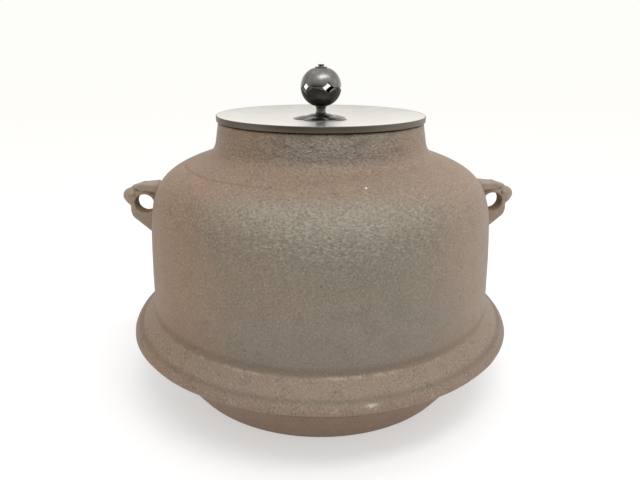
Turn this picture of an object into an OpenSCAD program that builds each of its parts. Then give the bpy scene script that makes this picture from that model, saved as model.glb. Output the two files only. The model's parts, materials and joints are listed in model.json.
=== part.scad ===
// Iron tea kettle with a flange, mask lugs, a scooped bronze lid and an openwork ball knob.
// Lengths are in millimetres. The kettle stands on z = 0, its axis is Z and the lugs lie on X.

/* [Kettle body] */
// height of the mouth's lip above the foot
body_h = 177.4; // [165:0.1:200]
// diameter of the wall just above the flange
wall_d = 233.4; // [225:0.1:245]
// how much the wall leans in before the shoulder, on the radius
wall_draft = 1.9; // [1:0.1:4]
// height of the shoulder and neck together
shoulder_h = 67.4; // [60:0.1:75]
// slope of the shoulder where it meets the neck, in degrees
shoulder_slope = 18.5; // [12:0.5:24]
// thickness of the wall
wall_t = 3.6; // [2.5:0.1:5]
// thickness of the floor
floor_t = 5; // [4:0.1:8]
// diameter of the foot
foot_d = 196.4; // [170:0.1:205]
// rounding of the foot's edge
foot_edge = 1.2; // [0.8:0.1:4]
// height at which the lower bowl has opened out
bowl_h = 27; // [20:0.5:35]
// how far the opened bowl stays inside the wall, on the radius
bowl_inset = 1.7; // [0.5:0.1:4]
// how far the lower bowl swells beyond a straight cone
bowl_swell = 0.6; // [0:0.1:2]

/* [Neck] */
// outer diameter of the neck at the lip
neck_d = 136.2; // [125:0.1:145]
// height of the neck above its root
neck_h = 19.5; // [16:0.1:24]
// how much wider the root is than the lip, on the radius
neck_flare = 2.9; // [1:0.1:5]
// length of the curve from shoulder to neck
neck_fillet = 7.4; // [4:0.1:9]
// thickness of the lip
mouth_t = 5.6; // [4:0.1:7]
// rounding of the lip's edges
lip_round = 1.2; // [0.5:0.1:1.8]

/* [Flange] */
// reach of the flange beyond the wall
flange_reach = 15; // [8:0.1:20]
// height of the rim's lower edge
flange_z = 39.6; // [36:0.1:42]
// height at which the flange leaves the wall
flange_root_z = 55.6; // [52:0.1:60]
// thickness of the flange at the wall, measured upright
flange_root_t = 7.6; // [6:0.1:10]
// thickness of the rim
flange_rim_t = 2.8; // [2:0.1:4]
// rounding where the flange meets the wall
flange_fillet = 2.5; // [1:0.1:4]
// depth of the soft hollow inside the rim
flange_hollow = 0.6; // [0:0.1:1]

/* [Lugs] */
// diameter of the ring hole
lug_hole_d = 12.8; // [9:0.1:14]
// depth of the hole's axis below the lip
lug_drop = 55.3; // [48:0.1:62]
// metal between the hole and the wall
lug_root = 0.9; // [0.6:0.1:3]
// metal round the hole
lug_ring_t = 3.2; // [2.8:0.1:5]
// thickness of the cheeks, along the hole
lug_w = 11; // [9:0.1:14]
// radius of the cheeks as seen from above
cheek_round = 14; // [10:0.1:18]
// width of the brow at the wall
brow_w = 17.2; // [15:0.1:22]
// width of the brow at its tip
brow_tip_w = 4.8; // [3:0.1:8]
// radius of the nose
nose_r = 5.4; // [4.5:0.1:6.5]
// radius of an eye
eye_r = 2.7; // [2.2:0.1:3.2]

/* [Lid] */
// overhang of the lid beyond the neck
lid_overhang = 0.9; // [0.2:0.1:3]
// height of the rim's side
lid_side_h = 3.2; // [2:0.1:5]
// bevel under the rim
lid_bevel = 1.4; // [0.6:0.1:2]
// depth of the scooped top
lid_dish = 3.2; // [1:0.1:3.6]
// thickness of the plate
lid_t = 2.6; // [2:0.1:3.2]
// depth of the locating ring below the lip
lid_ring_h = 5; // [3:0.1:8]
// thickness of the locating ring
lid_ring_t = 2.8; // [2:0.1:4]
// clearance of the locating ring in the mouth
lid_clearance = 1.2; // [0.5:0.1:2]

/* [Knob] */
// diameter of the openwork ball
ball_d = 26.9; // [25.6:0.1:30]
// height of the whole ball, before its ends are cut flat
ball_h = 25.2; // [24:0.1:25.6]
// thickness of its petals
ball_t = 1.5; // [1.2:0.1:2]
// width of an opening between petals
opening_w = 8.4; // [6:0.1:10]
// height of an opening between petals
opening_h = 7; // [6:0.1:10]
// bend of the openings' sides, 0.5 when straight and less when bowed inwards
opening_bend = 0.42; // [0.25:0.01:0.5]
// turn of the first opening from the X axis, in degrees
opening_turn = -71; // [-90:1:90]
// groove between the two halves of the ball
ball_groove = 0.45; // [0.2:0.05:0.7]
// flat on the crown of the ball
crown_d = 11; // [9.5:0.1:11.4]
// height of the stem
stem_h = 4.7; // [3:0.1:10]
// diameter of the stem's ends
stem_d = 7.4; // [6.6:0.1:8]
// diameter of the stem's waist
waist_d = 6.4; // [5:0.1:6.5]
// diameter of the seat over its petals
seat_d = 36.8; // [30:0.1:40]
// height of the seat
seat_h = 3.4; // [2.6:0.1:4]
// height of the seat's petals
seat_petal_h = 2; // [1:0.1:2.4]
// diameter of the finial washer
finial_d = 8.2; // [6:0.1:9]
// thickness of the finial washer
finial_t = 0.95; // [0.6:0.05:2]
// diameter of the rivet
rivet_d = 2.4; // [1.8:0.1:2.8]
// diameter of the rivet's head
rivet_head_d = 4; // [3.2:0.1:5]
// height of the rivet's head
rivet_head_h = 1.6; // [1:0.1:3]
// diameter of the washer under the lid
washer_d = 9; // [7:0.1:14]
// thickness of the washer under the lid
washer_t = 1; // [0.6:0.1:2]

/* [Sound plates] */
// diameter of a sound plate
plate_d = 24; // [16:0.5:30]
// thickness of a sound plate
plate_t = 2; // [1.2:0.1:4]
// diameter of the ring of plates
plate_ring_d = 108; // [80:1:120]
// diameter of a lacquer bed
lacquer_d = 16; // [10:0.5:22]
// thickness of a lacquer bed
lacquer_t = 1.2; // [0.6:0.1:3]

/* [Hidden] */
$fn = 96;
petals = 5;
plates = 5;
// radial play of the rivet in the pieces it holds
rivet_gap = 0.05;
// radial gap between a lug and the wall it is cast on
lug_gap = 0.05;
// overlap that keeps a cut clear of the face it opens
cut = 1;
// number of straight steps in a curve
fine_steps = 16;
coarse_steps = 6;

// radii and heights of the body
wall_r = wall_d / 2;
shoulder_r = wall_r - wall_draft;
shoulder_z = body_h - shoulder_h;
foot_r = foot_d / 2;
bowl_r = wall_r - bowl_inset;
neck_r = neck_d / 2;
neck_root_r = neck_r + neck_flare;
neck_root_z = body_h - neck_h;
mouth_r = neck_r - mouth_t;
flange_r = wall_r + flange_reach;
// where the hollow inside the rim lies, as shares of the flange's reach and height
crease_out = 0.62;
crease_up = 0.47;
crease_r = wall_r + crease_out * flange_reach;
crease_z = flange_z + crease_up * (flange_root_z - flange_z) - flange_hollow;

// heights of the pieces stacked on the lid
lid_r = neck_r + lid_overhang;
lid_rim_z = body_h + lid_bevel + lid_side_h;
lid_mid_z = lid_rim_z - lid_dish;
lid_under_z = lid_mid_z - lid_t;
seat_r = seat_d / 2;
seat_top_z = lid_mid_z + seat_h;
stem_top_z = seat_top_z + stem_h;
// the ball's outline is an arc whose centre lies a little off the axis, so the ball is wider than high
ball_r = ball_h / 2;
ball_out_r = ball_d / 2;
ball_off = ball_out_r - ball_r;
ball_foot = sqrt(pow(ball_r, 2) - pow(stem_d / 2 - ball_off, 2));
ball_crown = sqrt(pow(ball_r, 2) - pow(crown_d / 2 - ball_off, 2));
ball_z = stem_top_z + ball_foot;
crown_z = ball_z + ball_crown;
finial_top_z = crown_z + finial_t;
washer_under_z = lid_under_z - washer_t;
rivet_hole_r = rivet_d / 2 + rivet_gap;
// the peened end is a low cone that spreads over the washer
peen_h = 1.2;
peen_spread = 0.9;
peen_r = rivet_d / 2 + peen_spread;

// the scoop of the lid is flat under the seat and an arc of a large circle outside it
scoop_margin = 1.5;
scoop_flat_r = seat_r + scoop_margin;
scoop_run = lid_r - scoop_flat_r;
scoop_r = (pow(scoop_run, 2) + pow(lid_dish, 2)) / (2 * lid_dish);
ring_out_r = mouth_r - lid_clearance;
ring_in_r = ring_out_r - lid_ring_t;

// shares of the seat's radius and height that shape its petals and raised middle
seat_petal_share = 0.52;
seat_middle_share = 0.6;
seat_edge_share = 0.6;
seat_bend_share = 0.3;

plate_ring_r = plate_ring_d / 2;
plate_z = floor_t + lacquer_t;

// curves given by their control points
function mix(a, b, t) = a * (1 - t) + b * t;
function curve3(a, b, c, t) = mix(mix(a, b, t), mix(b, c, t), t);
function curve4(a, b, c, d, t) = mix(curve3(a, b, c, t), curve3(b, c, d, t), t);
function arc(centre, r, from, to, steps) =
    [for (i = [0 : steps]) centre + r * [cos(mix(from, to, i / steps)), sin(mix(from, to, i / steps))]];
function ahead(p, q) = (q - p) / norm(q - p);

// outer line of the vessel without its flange, from the foot to the lip
bowl_angle = atan2(bowl_h, bowl_r - foot_r);
bowl_top = [bowl_r, bowl_h];
wall_foot = [wall_r, flange_root_z];
wall_bend = [wall_r, mix(flange_root_z, shoulder_z, 0.5)];
wall_top = [shoulder_r, shoulder_z];
neck_root = [neck_root_r, neck_root_z];
neck_top = [neck_r, body_h - lip_round];
shoulder_dir = [cos(shoulder_slope), -sin(shoulder_slope)];
shoulder_end = neck_root + neck_fillet * shoulder_dir;
// fullness of the shoulder's curve, as shares of its height and of its width
shoulder_up_share = 0.69;
shoulder_out_share = 0.74;
shoulder_lift = shoulder_up_share * (shoulder_end[1] - shoulder_z);
shoulder_pull = shoulder_out_share * (shoulder_r - shoulder_end[0]);
shoulder_a = wall_top + shoulder_lift * ahead(wall_bend, wall_top);
shoulder_b = shoulder_end + shoulder_pull * shoulder_dir;
neck_start = neck_root + neck_fillet * ahead(neck_root, neck_top);

foot_line = arc([foot_r - foot_edge, foot_edge], foot_edge, -90, bowl_angle - 90, coarse_steps);
foot_end = foot_line[coarse_steps];
bowl_bend = mix(foot_end, bowl_top, 0.5) + 2 * bowl_swell * [sin(bowl_angle), -cos(bowl_angle)];
bowl_line = [for (i = [1 : coarse_steps]) curve3(foot_end, bowl_bend, bowl_top, i / coarse_steps)];
wall_line = [for (i = [0 : coarse_steps]) curve3(wall_foot, wall_bend, wall_top, i / coarse_steps)];
shoulder_line = [for (i = [1 : fine_steps])
    curve4(wall_top, shoulder_a, shoulder_b, shoulder_end, i / fine_steps)];
neck_line = [for (i = [1 : coarse_steps]) curve3(shoulder_end, neck_root, neck_start, i / coarse_steps)];
lip_line = concat(
    arc([neck_r - lip_round, body_h - lip_round], lip_round, 0, 90, coarse_steps),
    arc([mouth_r + lip_round, body_h - lip_round], lip_round, 90, 180, coarse_steps));

// the flange hangs from the wall between these points
flange_under_z = flange_root_z - flange_root_t;
rim_round = flange_rim_t / 2;
rim_from = -120;
rim_to = 30;
rim_centre = [flange_r - rim_round, flange_z + rim_round];
rim_end = rim_centre + rim_round * [cos(rim_to), sin(rim_to)];
// the rim's bead rises from the rim and dips into the hollow
bead_length = 4;
bead_bend = rim_end + bead_length * [-sin(rim_to), cos(rim_to)];
crease = [crease_r, crease_z];
flange_line = concat(
    [[mix(bowl_r, wall_r, (flange_under_z - bowl_h) / (flange_root_z - bowl_h)), flange_under_z]],
    arc(rim_centre, rim_round, rim_from, rim_to, coarse_steps),
    [for (i = [1 : coarse_steps]) curve3(rim_end, bead_bend, crease, i / coarse_steps)]);
flange_dir = ahead(wall_foot, crease);
flange_fillet_line = [for (i = [0 : coarse_steps])
    curve3(wall_foot + flange_fillet * flange_dir, wall_foot, wall_foot + [0, flange_fillet],
           i / coarse_steps)];
wall_above = [for (p = wall_line) if (p[1] > flange_root_z + flange_fillet) p];

// inner line of the vessel: the outer line moved in by the wall's thickness
skin = concat([bowl_top], wall_line, shoulder_line);
function inward(a, b) = [-ahead(a, b)[1], ahead(a, b)[0]];
skin_in = [for (i = [1 : len(skin) - 2]) skin[i] + wall_t * inward(skin[i - 1], skin[i + 1])];
bowl_in_dir = ahead([foot_r, 0], bowl_top);
bowl_in_top = bowl_top + wall_t * inward([foot_r, 0], bowl_top);
bowl_in_foot = bowl_in_top - (bowl_in_top[1] - floor_t) / bowl_in_dir[1] * bowl_in_dir;
skin_end = skin_in[len(skin_in) - 1];
mouth_bend = [mouth_r, skin_end[1] + (skin_end[0] - mouth_r) * tan(shoulder_slope)];
mouth_line = [for (i = [1 : coarse_steps])
    curve3(skin_end, mouth_bend, mouth_bend + [0, neck_fillet], i / coarse_steps)];

// radius of the outer wall at a height on the shoulder or wall
upper_skin = concat(wall_line, shoulder_line);
function skin_r(z) = lookup(z, [for (p = upper_skin) [p[1], p[0]]]);

// outline of two circles and the straight lines that touch both
function pod(c1, r1, c2, r2) =
    let (turn = atan2(c2[1] - c1[1], c2[0] - c1[0]), spread = acos((r1 - r2) / norm(c2 - c1)))
    concat(arc(c2, r2, turn - spread, turn + spread, fine_steps),
           arc(c1, r1, turn + spread, turn + 360 - spread, fine_steps));
function backwards(list) = [for (i = [len(list) - 1 : -1 : 0]) list[i]];

// places on a lug, measured outwards and upwards from the hole's axis
hole_r = lug_hole_d / 2;
ring_r = hole_r + lug_ring_t;
lug_z = body_h - lug_drop;
lug_x = skin_r(lug_z) + lug_root + hole_r;
// the nose sits this many degrees up the ring, its middle a little beyond the ring's edge
nose_lift = 25.5;
nose_out = 1.1;
nose_dist = ring_r + nose_out;
// the brow is thick at the wall and thin at its tip, and a leaf as seen from above
brow_root_r = 2.5;
brow_root_rise = 1.7;
brow_root_at = [-8.2, ring_r + brow_root_rise];
brow_mid_r = 2.2;
brow_mid_rise = 1.6;
brow_mid_at = [1, ring_r + brow_mid_rise];
brow_tip_r = 1;
brow_tip_rise = 1.4;
brow_tip_at = [7.5, ring_r + brow_tip_rise];
brow_leaf_back = [-9.2, 0];
brow_leaf_mid = [1, 0];
brow_leaf_front = [6.4, 0];
// share of the brow's width at the wall that it keeps in the middle
brow_mid_share = 0.66;
// an eye bulges from the cheek between brow and nose
eye_turn = 45;
eye_out = 0.3;
eye_bulge = 1.2;
eye_dist = ring_r + eye_out;
eye_at = [eye_dist * cos(eye_turn), lug_w / 2 - eye_bulge, eye_dist * sin(eye_turn)];
// the bridge is a ridge that fills the face between brow, ring and nose
bridge_root_r = 5;
bridge_tip_r = 3.2;
bridge_drop = 2.4;
bridge_root_at = [-8.2, 0, ring_r - bridge_drop];
bridge_l = 15.2;
// the jaw runs from a round chin down to a foot inside the wall
chin_r = 8.2;
chin_out = 0.8;
chin_at = [ring_r + chin_out - chin_r, -4.8];
chin_foot_r = 3;
chin_foot_at = [-11.2, -24];
// how far the round front of the cheeks stands beyond the chin
cheek_out = 0.8;
// more than the reach of a mask from its hole
mask_reach = 2 * norm(chin_foot_at);

plate_names = [for (i = [1 : plates]) str("sound_plate_", i)];
lacquer_names = [for (i = [1 : plates]) str("plate_lacquer_", i)];

// iron casting: foot, bowl, flange, wall, shoulder, neck and mouth
module kettle_body() {
    color("#4b423c")
        rotate_extrude()
            polygon(concat(
                [[0, 0]], foot_line, bowl_line,
                flange_line, flange_fillet_line, wall_above,
                shoulder_line, neck_line, lip_line,
                backwards(mouth_line), backwards(skin_in),
                [bowl_in_top, bowl_in_foot, [0, floor_t]]));
}

// the space the wall takes up, a hair wider, that a lug must leave free
module wall_space() {
    rotate_extrude()
        polygon(concat(
            [[0, flange_root_z]],
            [for (p = upper_skin) p + [lug_gap, 0]],
            [[0, shoulder_end[1]]]));
}

// outline lying in the XZ plane, drawn out along Y to the given width
module across(width) {
    rotate([90, 0, 0]) translate([0, 0, -width / 2]) linear_extrude(width) children();
}

// all that lies within a round front of the given reach, as seen from above
module within_round(reach, r) {
    translate([reach - r, 0, -mask_reach]) cylinder(h = 2 * mask_reach, r = r);
    translate([-mask_reach, -r, -mask_reach]) cube([mask_reach + reach - r, 2 * r, 2 * mask_reach]);
}

// mask on the +X side: brow, bridge, eyes, nose and jaw round the ring hole
module mask() {
    intersection() {
        across(brow_w) {
            polygon(pod(brow_root_at, brow_root_r, brow_mid_at, brow_mid_r));
            polygon(pod(brow_mid_at, brow_mid_r, brow_tip_at, brow_tip_r));
        }
        translate([0, 0, -mask_reach]) linear_extrude(2 * mask_reach) {
            polygon(pod(brow_leaf_back, brow_w / 2, brow_leaf_mid, brow_mid_share * brow_w / 2));
            polygon(pod(brow_leaf_mid, brow_mid_share * brow_w / 2, brow_leaf_front, brow_tip_w / 2));
        }
    }
    intersection() {
        across(lug_w) {
            circle(ring_r);
            polygon(pod(chin_at, chin_r, chin_foot_at, chin_foot_r));
        }
        within_round(ring_r + chin_out + cheek_out, cheek_round);
    }
    translate(bridge_root_at)
        rotate([0, 90, 0]) cylinder(h = bridge_l, r1 = bridge_root_r, r2 = bridge_tip_r);
    for (side = [-1, 1])
        translate([eye_at[0], side * eye_at[1], eye_at[2]]) sphere(eye_r);
    translate([nose_dist * cos(nose_lift), 0, nose_dist * sin(nose_lift)]) sphere(nose_r);
}

module lug() {
    difference() {
        translate([lug_x, 0, lug_z]) mask();
        wall_space();
        translate([lug_x, 0, lug_z])
            rotate([90, 0, 0]) cylinder(h = brow_w + 2 * cut, r = hole_r, center = true);
    }
}

module lug_right() {
    color("#4b423c") lug();
}

module lug_left() {
    color("#4b423c") mirror([1, 0, 0]) lug();
}

// place of the i-th sound plate, the first one at the back
module at_plate(i) {
    rotate(90 + (i - 1) * 360 / plates) translate([plate_ring_r, 0, 0]) children();
}

module sound_plate(i) {
    color("#5a524c")
        at_plate(i) translate([0, 0, plate_z]) cylinder(h = plate_t, d = plate_d);
}

module plate_lacquer(i) {
    color("#1c1412")
        at_plate(i) translate([0, 0, floor_t]) cylinder(h = lacquer_t, d = lacquer_d);
}

// height of the scooped top at a radius outside the flat
function scoop_z(r) = lid_mid_z + scoop_r - sqrt(pow(scoop_r, 2) - pow(r - scoop_flat_r, 2));

module lid_plate() {
    scoop_line = [for (i = [fine_steps : -1 : 0])
        let (r = scoop_flat_r + scoop_run * i / fine_steps) [r, scoop_z(r)]];
    under_line = [for (i = [0 : fine_steps])
        let (r = mix(scoop_flat_r, ring_in_r, i / fine_steps)) [r, scoop_z(r) - lid_t]];
    color("#8d8578")
        rotate_extrude()
            polygon(concat(
                [[rivet_hole_r, lid_under_z]],
                under_line,
                [[ring_in_r, body_h - lid_ring_h], [ring_out_r, body_h - lid_ring_h],
                 [ring_out_r, body_h], [lid_r - lid_bevel, body_h], [lid_r, body_h + lid_bevel]],
                scoop_line,
                [[rivet_hole_r, lid_mid_z]]));
}

module rivet_hole(from_z, to_z) {
    translate([0, 0, from_z - cut]) cylinder(h = to_z - from_z + 2 * cut, r = rivet_hole_r);
}

// the turn that puts petals between the openings of the ball
module each_petal() {
    for (i = [0 : petals - 1])
        rotate(opening_turn + (i + 0.5) * 360 / petals) children();
}

module each_opening() {
    for (i = [0 : petals - 1])
        rotate(opening_turn + i * 360 / petals) children();
}

// five low domes round a raised middle
module knob_seat() {
    petal_r = seat_petal_share * seat_r;
    dome_r = (pow(petal_r, 2) + pow(seat_petal_h, 2)) / (2 * seat_petal_h);
    middle_r = seat_middle_share * seat_r;
    edge = [middle_r, seat_edge_share * seat_petal_h];
    stem_foot = [stem_d / 2, seat_h];
    bend = [mix(stem_foot[0], middle_r, seat_bend_share), seat_h];
    color("#5b4a3a")
        translate([0, 0, lid_mid_z])
            difference() {
                union() {
                    each_petal()
                        translate([seat_r - petal_r, 0, seat_petal_h - dome_r]) sphere(dome_r);
                    rotate_extrude()
                        polygon(concat(
                            [[0, 0], [middle_r, 0]],
                            [for (i = [0 : coarse_steps]) curve3(edge, bend, stem_foot, i / coarse_steps)],
                            [[0, seat_h]]));
                }
                translate([0, 0, -2 * dome_r])
                    cylinder(h = 2 * dome_r, r = seat_r + dome_r);
                rivet_hole(0, seat_h);
            }
}

// waisted collar between the seat and the ball
module knob_stem() {
    end_r = stem_d / 2;
    waist_r = waist_d / 2;
    bend_r = 2 * waist_r - end_r;
    color("#5b4a3a")
        translate([0, 0, seat_top_z])
            rotate_extrude()
                polygon(concat(
                    [[rivet_hole_r, 0]],
                    [for (i = [0 : fine_steps])
                        curve3([end_r, 0], [bend_r, stem_h / 2], [end_r, stem_h], i / fine_steps)],
                    [[rivet_hole_r, stem_h]]));
}

// opening between petals: a diamond with sides that bow inwards
module opening_outline() {
    tips = [[opening_w / 2, 0], [0, opening_h / 2], [-opening_w / 2, 0], [0, -opening_h / 2]];
    polygon([for (k = [0 : 3]) for (i = [0 : coarse_steps - 1])
        let (a = tips[k], b = tips[(k + 1) % 4])
        curve3(a, opening_bend * (a + b), b, i / coarse_steps)]);
}

// half section of one cup of the ball, its flat end at the given height from the middle
module cup_section(flat) {
    intersection() {
        difference() {
            translate([ball_off, 0]) circle(ball_r);
            translate([ball_off, 0]) circle(ball_r - ball_t);
            translate([ball_out_r, 0])
                polygon([[-ball_groove, 0], [cut, ball_groove + cut], [cut, 0]]);
        }
        translate([rivet_hole_r, 0]) square([ball_out_r, flat]);
    }
}

// cup of petals with its rim at z = 0 and its flat end upwards
module petal_cup(flat) {
    difference() {
        rotate_extrude() cup_section(flat);
        each_opening()
            rotate([90, 0, 90]) linear_extrude(ball_out_r + cut) opening_outline();
    }
}

module knob_lower_petals() {
    color("#3a2f28")
        translate([0, 0, ball_z]) mirror([0, 0, 1]) petal_cup(ball_foot);
}

module knob_upper_petals() {
    color("#4d4036")
        translate([0, 0, ball_z]) petal_cup(ball_crown);
}

module finial_washer() {
    color("#5b4a3a")
        difference() {
            translate([0, 0, crown_z]) cylinder(h = finial_t, d = finial_d);
            rivet_hole(crown_z, finial_top_z);
        }
}

// rivet with its head on the finial and its peened end under the lid
module knob_rivet() {
    color("#5b4a3a") {
        translate([0, 0, finial_top_z]) cylinder(h = rivet_head_h, d = rivet_head_d);
        translate([0, 0, washer_under_z]) cylinder(h = finial_top_z - washer_under_z, d = rivet_d);
        translate([0, 0, washer_under_z - peen_h])
            cylinder(h = peen_h, r1 = rivet_d / 2, r2 = peen_r);
    }
}

module rivet_washer() {
    color("#8d8578")
        difference() {
            translate([0, 0, washer_under_z]) cylinder(h = washer_t, d = washer_d);
            rivet_hole(washer_under_z, lid_under_z);
        }
}

kettle_body();
lug_left();
lug_right();
for (i = [1 : plates]) sound_plate(i);
for (i = [1 : plates]) plate_lacquer(i);
lid_plate();
knob_seat();
knob_stem();
knob_lower_petals();
knob_upper_petals();
finial_washer();
knob_rivet();
rivet_washer();
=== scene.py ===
# %% [markdown]
# # A flanged iron tea kettle with a bronze lid
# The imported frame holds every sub-part at its real size. This lesson dresses it: the iron casting
# gets its sandy skin, the mask lugs are sculpted, the lid and knob are turned and polished, and a
# white studio is put round them. Lengths are in metres unless a name says otherwise.

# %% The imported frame
import json
import math

import bmesh
import bpy
import numpy as np
from mathutils import Euler, Matrix, Vector, noise


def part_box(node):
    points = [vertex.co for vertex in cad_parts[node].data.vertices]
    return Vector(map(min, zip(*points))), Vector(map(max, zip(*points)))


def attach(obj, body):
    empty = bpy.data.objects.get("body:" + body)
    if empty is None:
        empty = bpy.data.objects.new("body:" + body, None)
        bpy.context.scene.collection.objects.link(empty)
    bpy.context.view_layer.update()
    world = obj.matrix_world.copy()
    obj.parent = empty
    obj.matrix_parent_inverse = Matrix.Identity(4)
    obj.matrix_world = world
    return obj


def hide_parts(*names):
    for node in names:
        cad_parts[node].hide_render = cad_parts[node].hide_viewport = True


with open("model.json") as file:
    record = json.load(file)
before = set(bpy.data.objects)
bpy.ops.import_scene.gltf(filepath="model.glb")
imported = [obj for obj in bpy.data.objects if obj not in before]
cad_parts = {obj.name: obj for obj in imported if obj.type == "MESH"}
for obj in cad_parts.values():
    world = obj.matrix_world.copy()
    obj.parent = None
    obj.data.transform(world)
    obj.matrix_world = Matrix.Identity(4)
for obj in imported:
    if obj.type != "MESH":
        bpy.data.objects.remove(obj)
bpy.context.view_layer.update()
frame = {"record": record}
MM = 0.001

# %% [markdown]
# ## The camera
# The photograph looks down on the kettle from just above the height of its lid, close enough for a
# strong perspective. The camera's place and lens were worked out from the ellipses that the lid, the
# flange and the foot make in the picture. The kettle stands turned by two and a half degrees, which shows
# in its lugs: one is a little nearer. Here the camera goes round instead, and the frame keeps its axes.
# The picture also leans by a quarter of a degree, so the camera rolls as much about its line of sight.

# %% Camera
CAMERA_BACK = 371.1 * MM
CAMERA_UP = 220.0 * MM
CAMERA_PITCH = math.radians(18.91)
CAMERA_TURN = math.radians(-2.5)
CAMERA_AIM = math.radians(0.03)
CAMERA_ROLL = math.radians(0.28)
IMAGE_WIDTH = 640
FOCAL_LENGTH_PIXELS = 545
SENSOR_WIDTH = 36
NEAREST = 10 * MM

camera_data = bpy.data.cameras.new("camera")
camera_data.sensor_width = SENSOR_WIDTH
camera_data.lens = FOCAL_LENGTH_PIXELS / IMAGE_WIDTH * SENSOR_WIDTH
camera = bpy.data.objects.new("camera", camera_data)
camera.location = (CAMERA_BACK * math.sin(CAMERA_TURN), -CAMERA_BACK * math.cos(CAMERA_TURN), CAMERA_UP)
level_view = Euler((math.pi / 2 - CAMERA_PITCH, 0, CAMERA_TURN + CAMERA_AIM)).to_matrix()
camera.rotation_euler = (level_view @ Matrix.Rotation(CAMERA_ROLL, 3, "Z")).to_euler()
camera_data.clip_start = NEAREST
bpy.context.scene.collection.objects.link(camera)
bpy.context.scene.camera = camera
print("camera: lens %.2f mm" % camera_data.lens)

# %% [markdown]
# ## Writing shaders as sums
# A finish is easiest to read as a formula. Nodes could be wired by hand in the editor, but sums are
# quicker to read and to change. So one small class wraps a socket and turns arithmetic into Math nodes,
# a second makes every other node, and a third is a material with the noises that metal needs.

# %% Values as sums
class Wire:
    """One value in a shader. Arithmetic on it adds Math nodes."""

    def __init__(self, tree, socket):
        self.tree = tree
        self.socket = socket

    def maths(self, operation, first, second):
        return self.tree.node("ShaderNodeMath", {"operation": operation}, {0: first, 1: second})

    def __add__(self, other):
        return self.maths("ADD", self, other)

    __radd__ = __add__

    def __sub__(self, other):
        return self.maths("SUBTRACT", self, other)

    def __rsub__(self, other):
        return self.maths("SUBTRACT", other, self)

    def __mul__(self, other):
        return self.maths("MULTIPLY", self, other)

    __rmul__ = __mul__

    def __truediv__(self, other):
        return self.maths("DIVIDE", self, other)

    def __pow__(self, other):
        return self.maths("POWER", self, other)

    def at_most(self, other):
        return self.maths("MINIMUM", self, other)

    def at_least(self, other):
        return self.maths("MAXIMUM", self, other)

    def rise(self, low, high):
        """0 below low, 1 above high and a smooth step between them."""
        return self.tree.node("ShaderNodeMapRange", {"interpolation_type": "SMOOTHSTEP"},
                              {"Value": self, "From Min": low, "From Max": high})

    def bell(self, centre, width):
        """1 at the centre, fading to 0 at width on both sides."""
        away = self - centre
        return 1 - away.at_least(0 - away).rise(0, width)


print("values as sums ready")

# %% Node trees
# A Mix node has sockets for each kind of data. These are the numbers of those for colours.
MIX_FACTOR, MIX_LOW, MIX_HIGH, MIX_RESULT = 0, 6, 7, 2


class Tree:
    """The node tree of a material or of the world."""

    def __init__(self, owner):
        owner.use_nodes = True
        self.owner = owner
        self.tree = owner.node_tree

    def feed(self, socket, value):
        """Links a value to a socket, or sets it there if it is a plain number or colour."""
        if isinstance(value, Wire):
            self.tree.links.new(value.socket, socket)
        else:
            socket.default_value = value

    def node(self, kind, settings=None, sockets=None, out=0):
        """Makes a node, gives it its settings and then its sockets, and returns one of its outputs."""
        made = self.tree.nodes.new(kind)
        for key, value in (settings or {}).items():
            setattr(made, key, value)
        for key, value in (sockets or {}).items():
            self.feed(made.inputs[key], value)
        return Wire(self, made.outputs[out])

    def blend(self, factor, low, high):
        """Colour low where the factor is 0 and high where it is 1."""
        settings = {"data_type": "RGBA", "clamp_factor": True}
        sockets = {MIX_FACTOR: factor, MIX_LOW: low, MIX_HIGH: high}
        return self.node("ShaderNodeMix", settings, sockets, out=MIX_RESULT)

    def tint(self, factor, colour, by):
        """The colour multiplied by another one where the factor is 1."""
        settings = {"data_type": "RGBA", "blend_type": "MULTIPLY"}
        sockets = {MIX_FACTOR: factor, MIX_LOW: colour, MIX_HIGH: by}
        return self.node("ShaderNodeMix", settings, sockets, out=MIX_RESULT)


print("node trees ready")

# %% Finishes
FINE_TURN, FINE_ROUGHNESS = (0.6, 0.4, 0.9), 0.6


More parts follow.
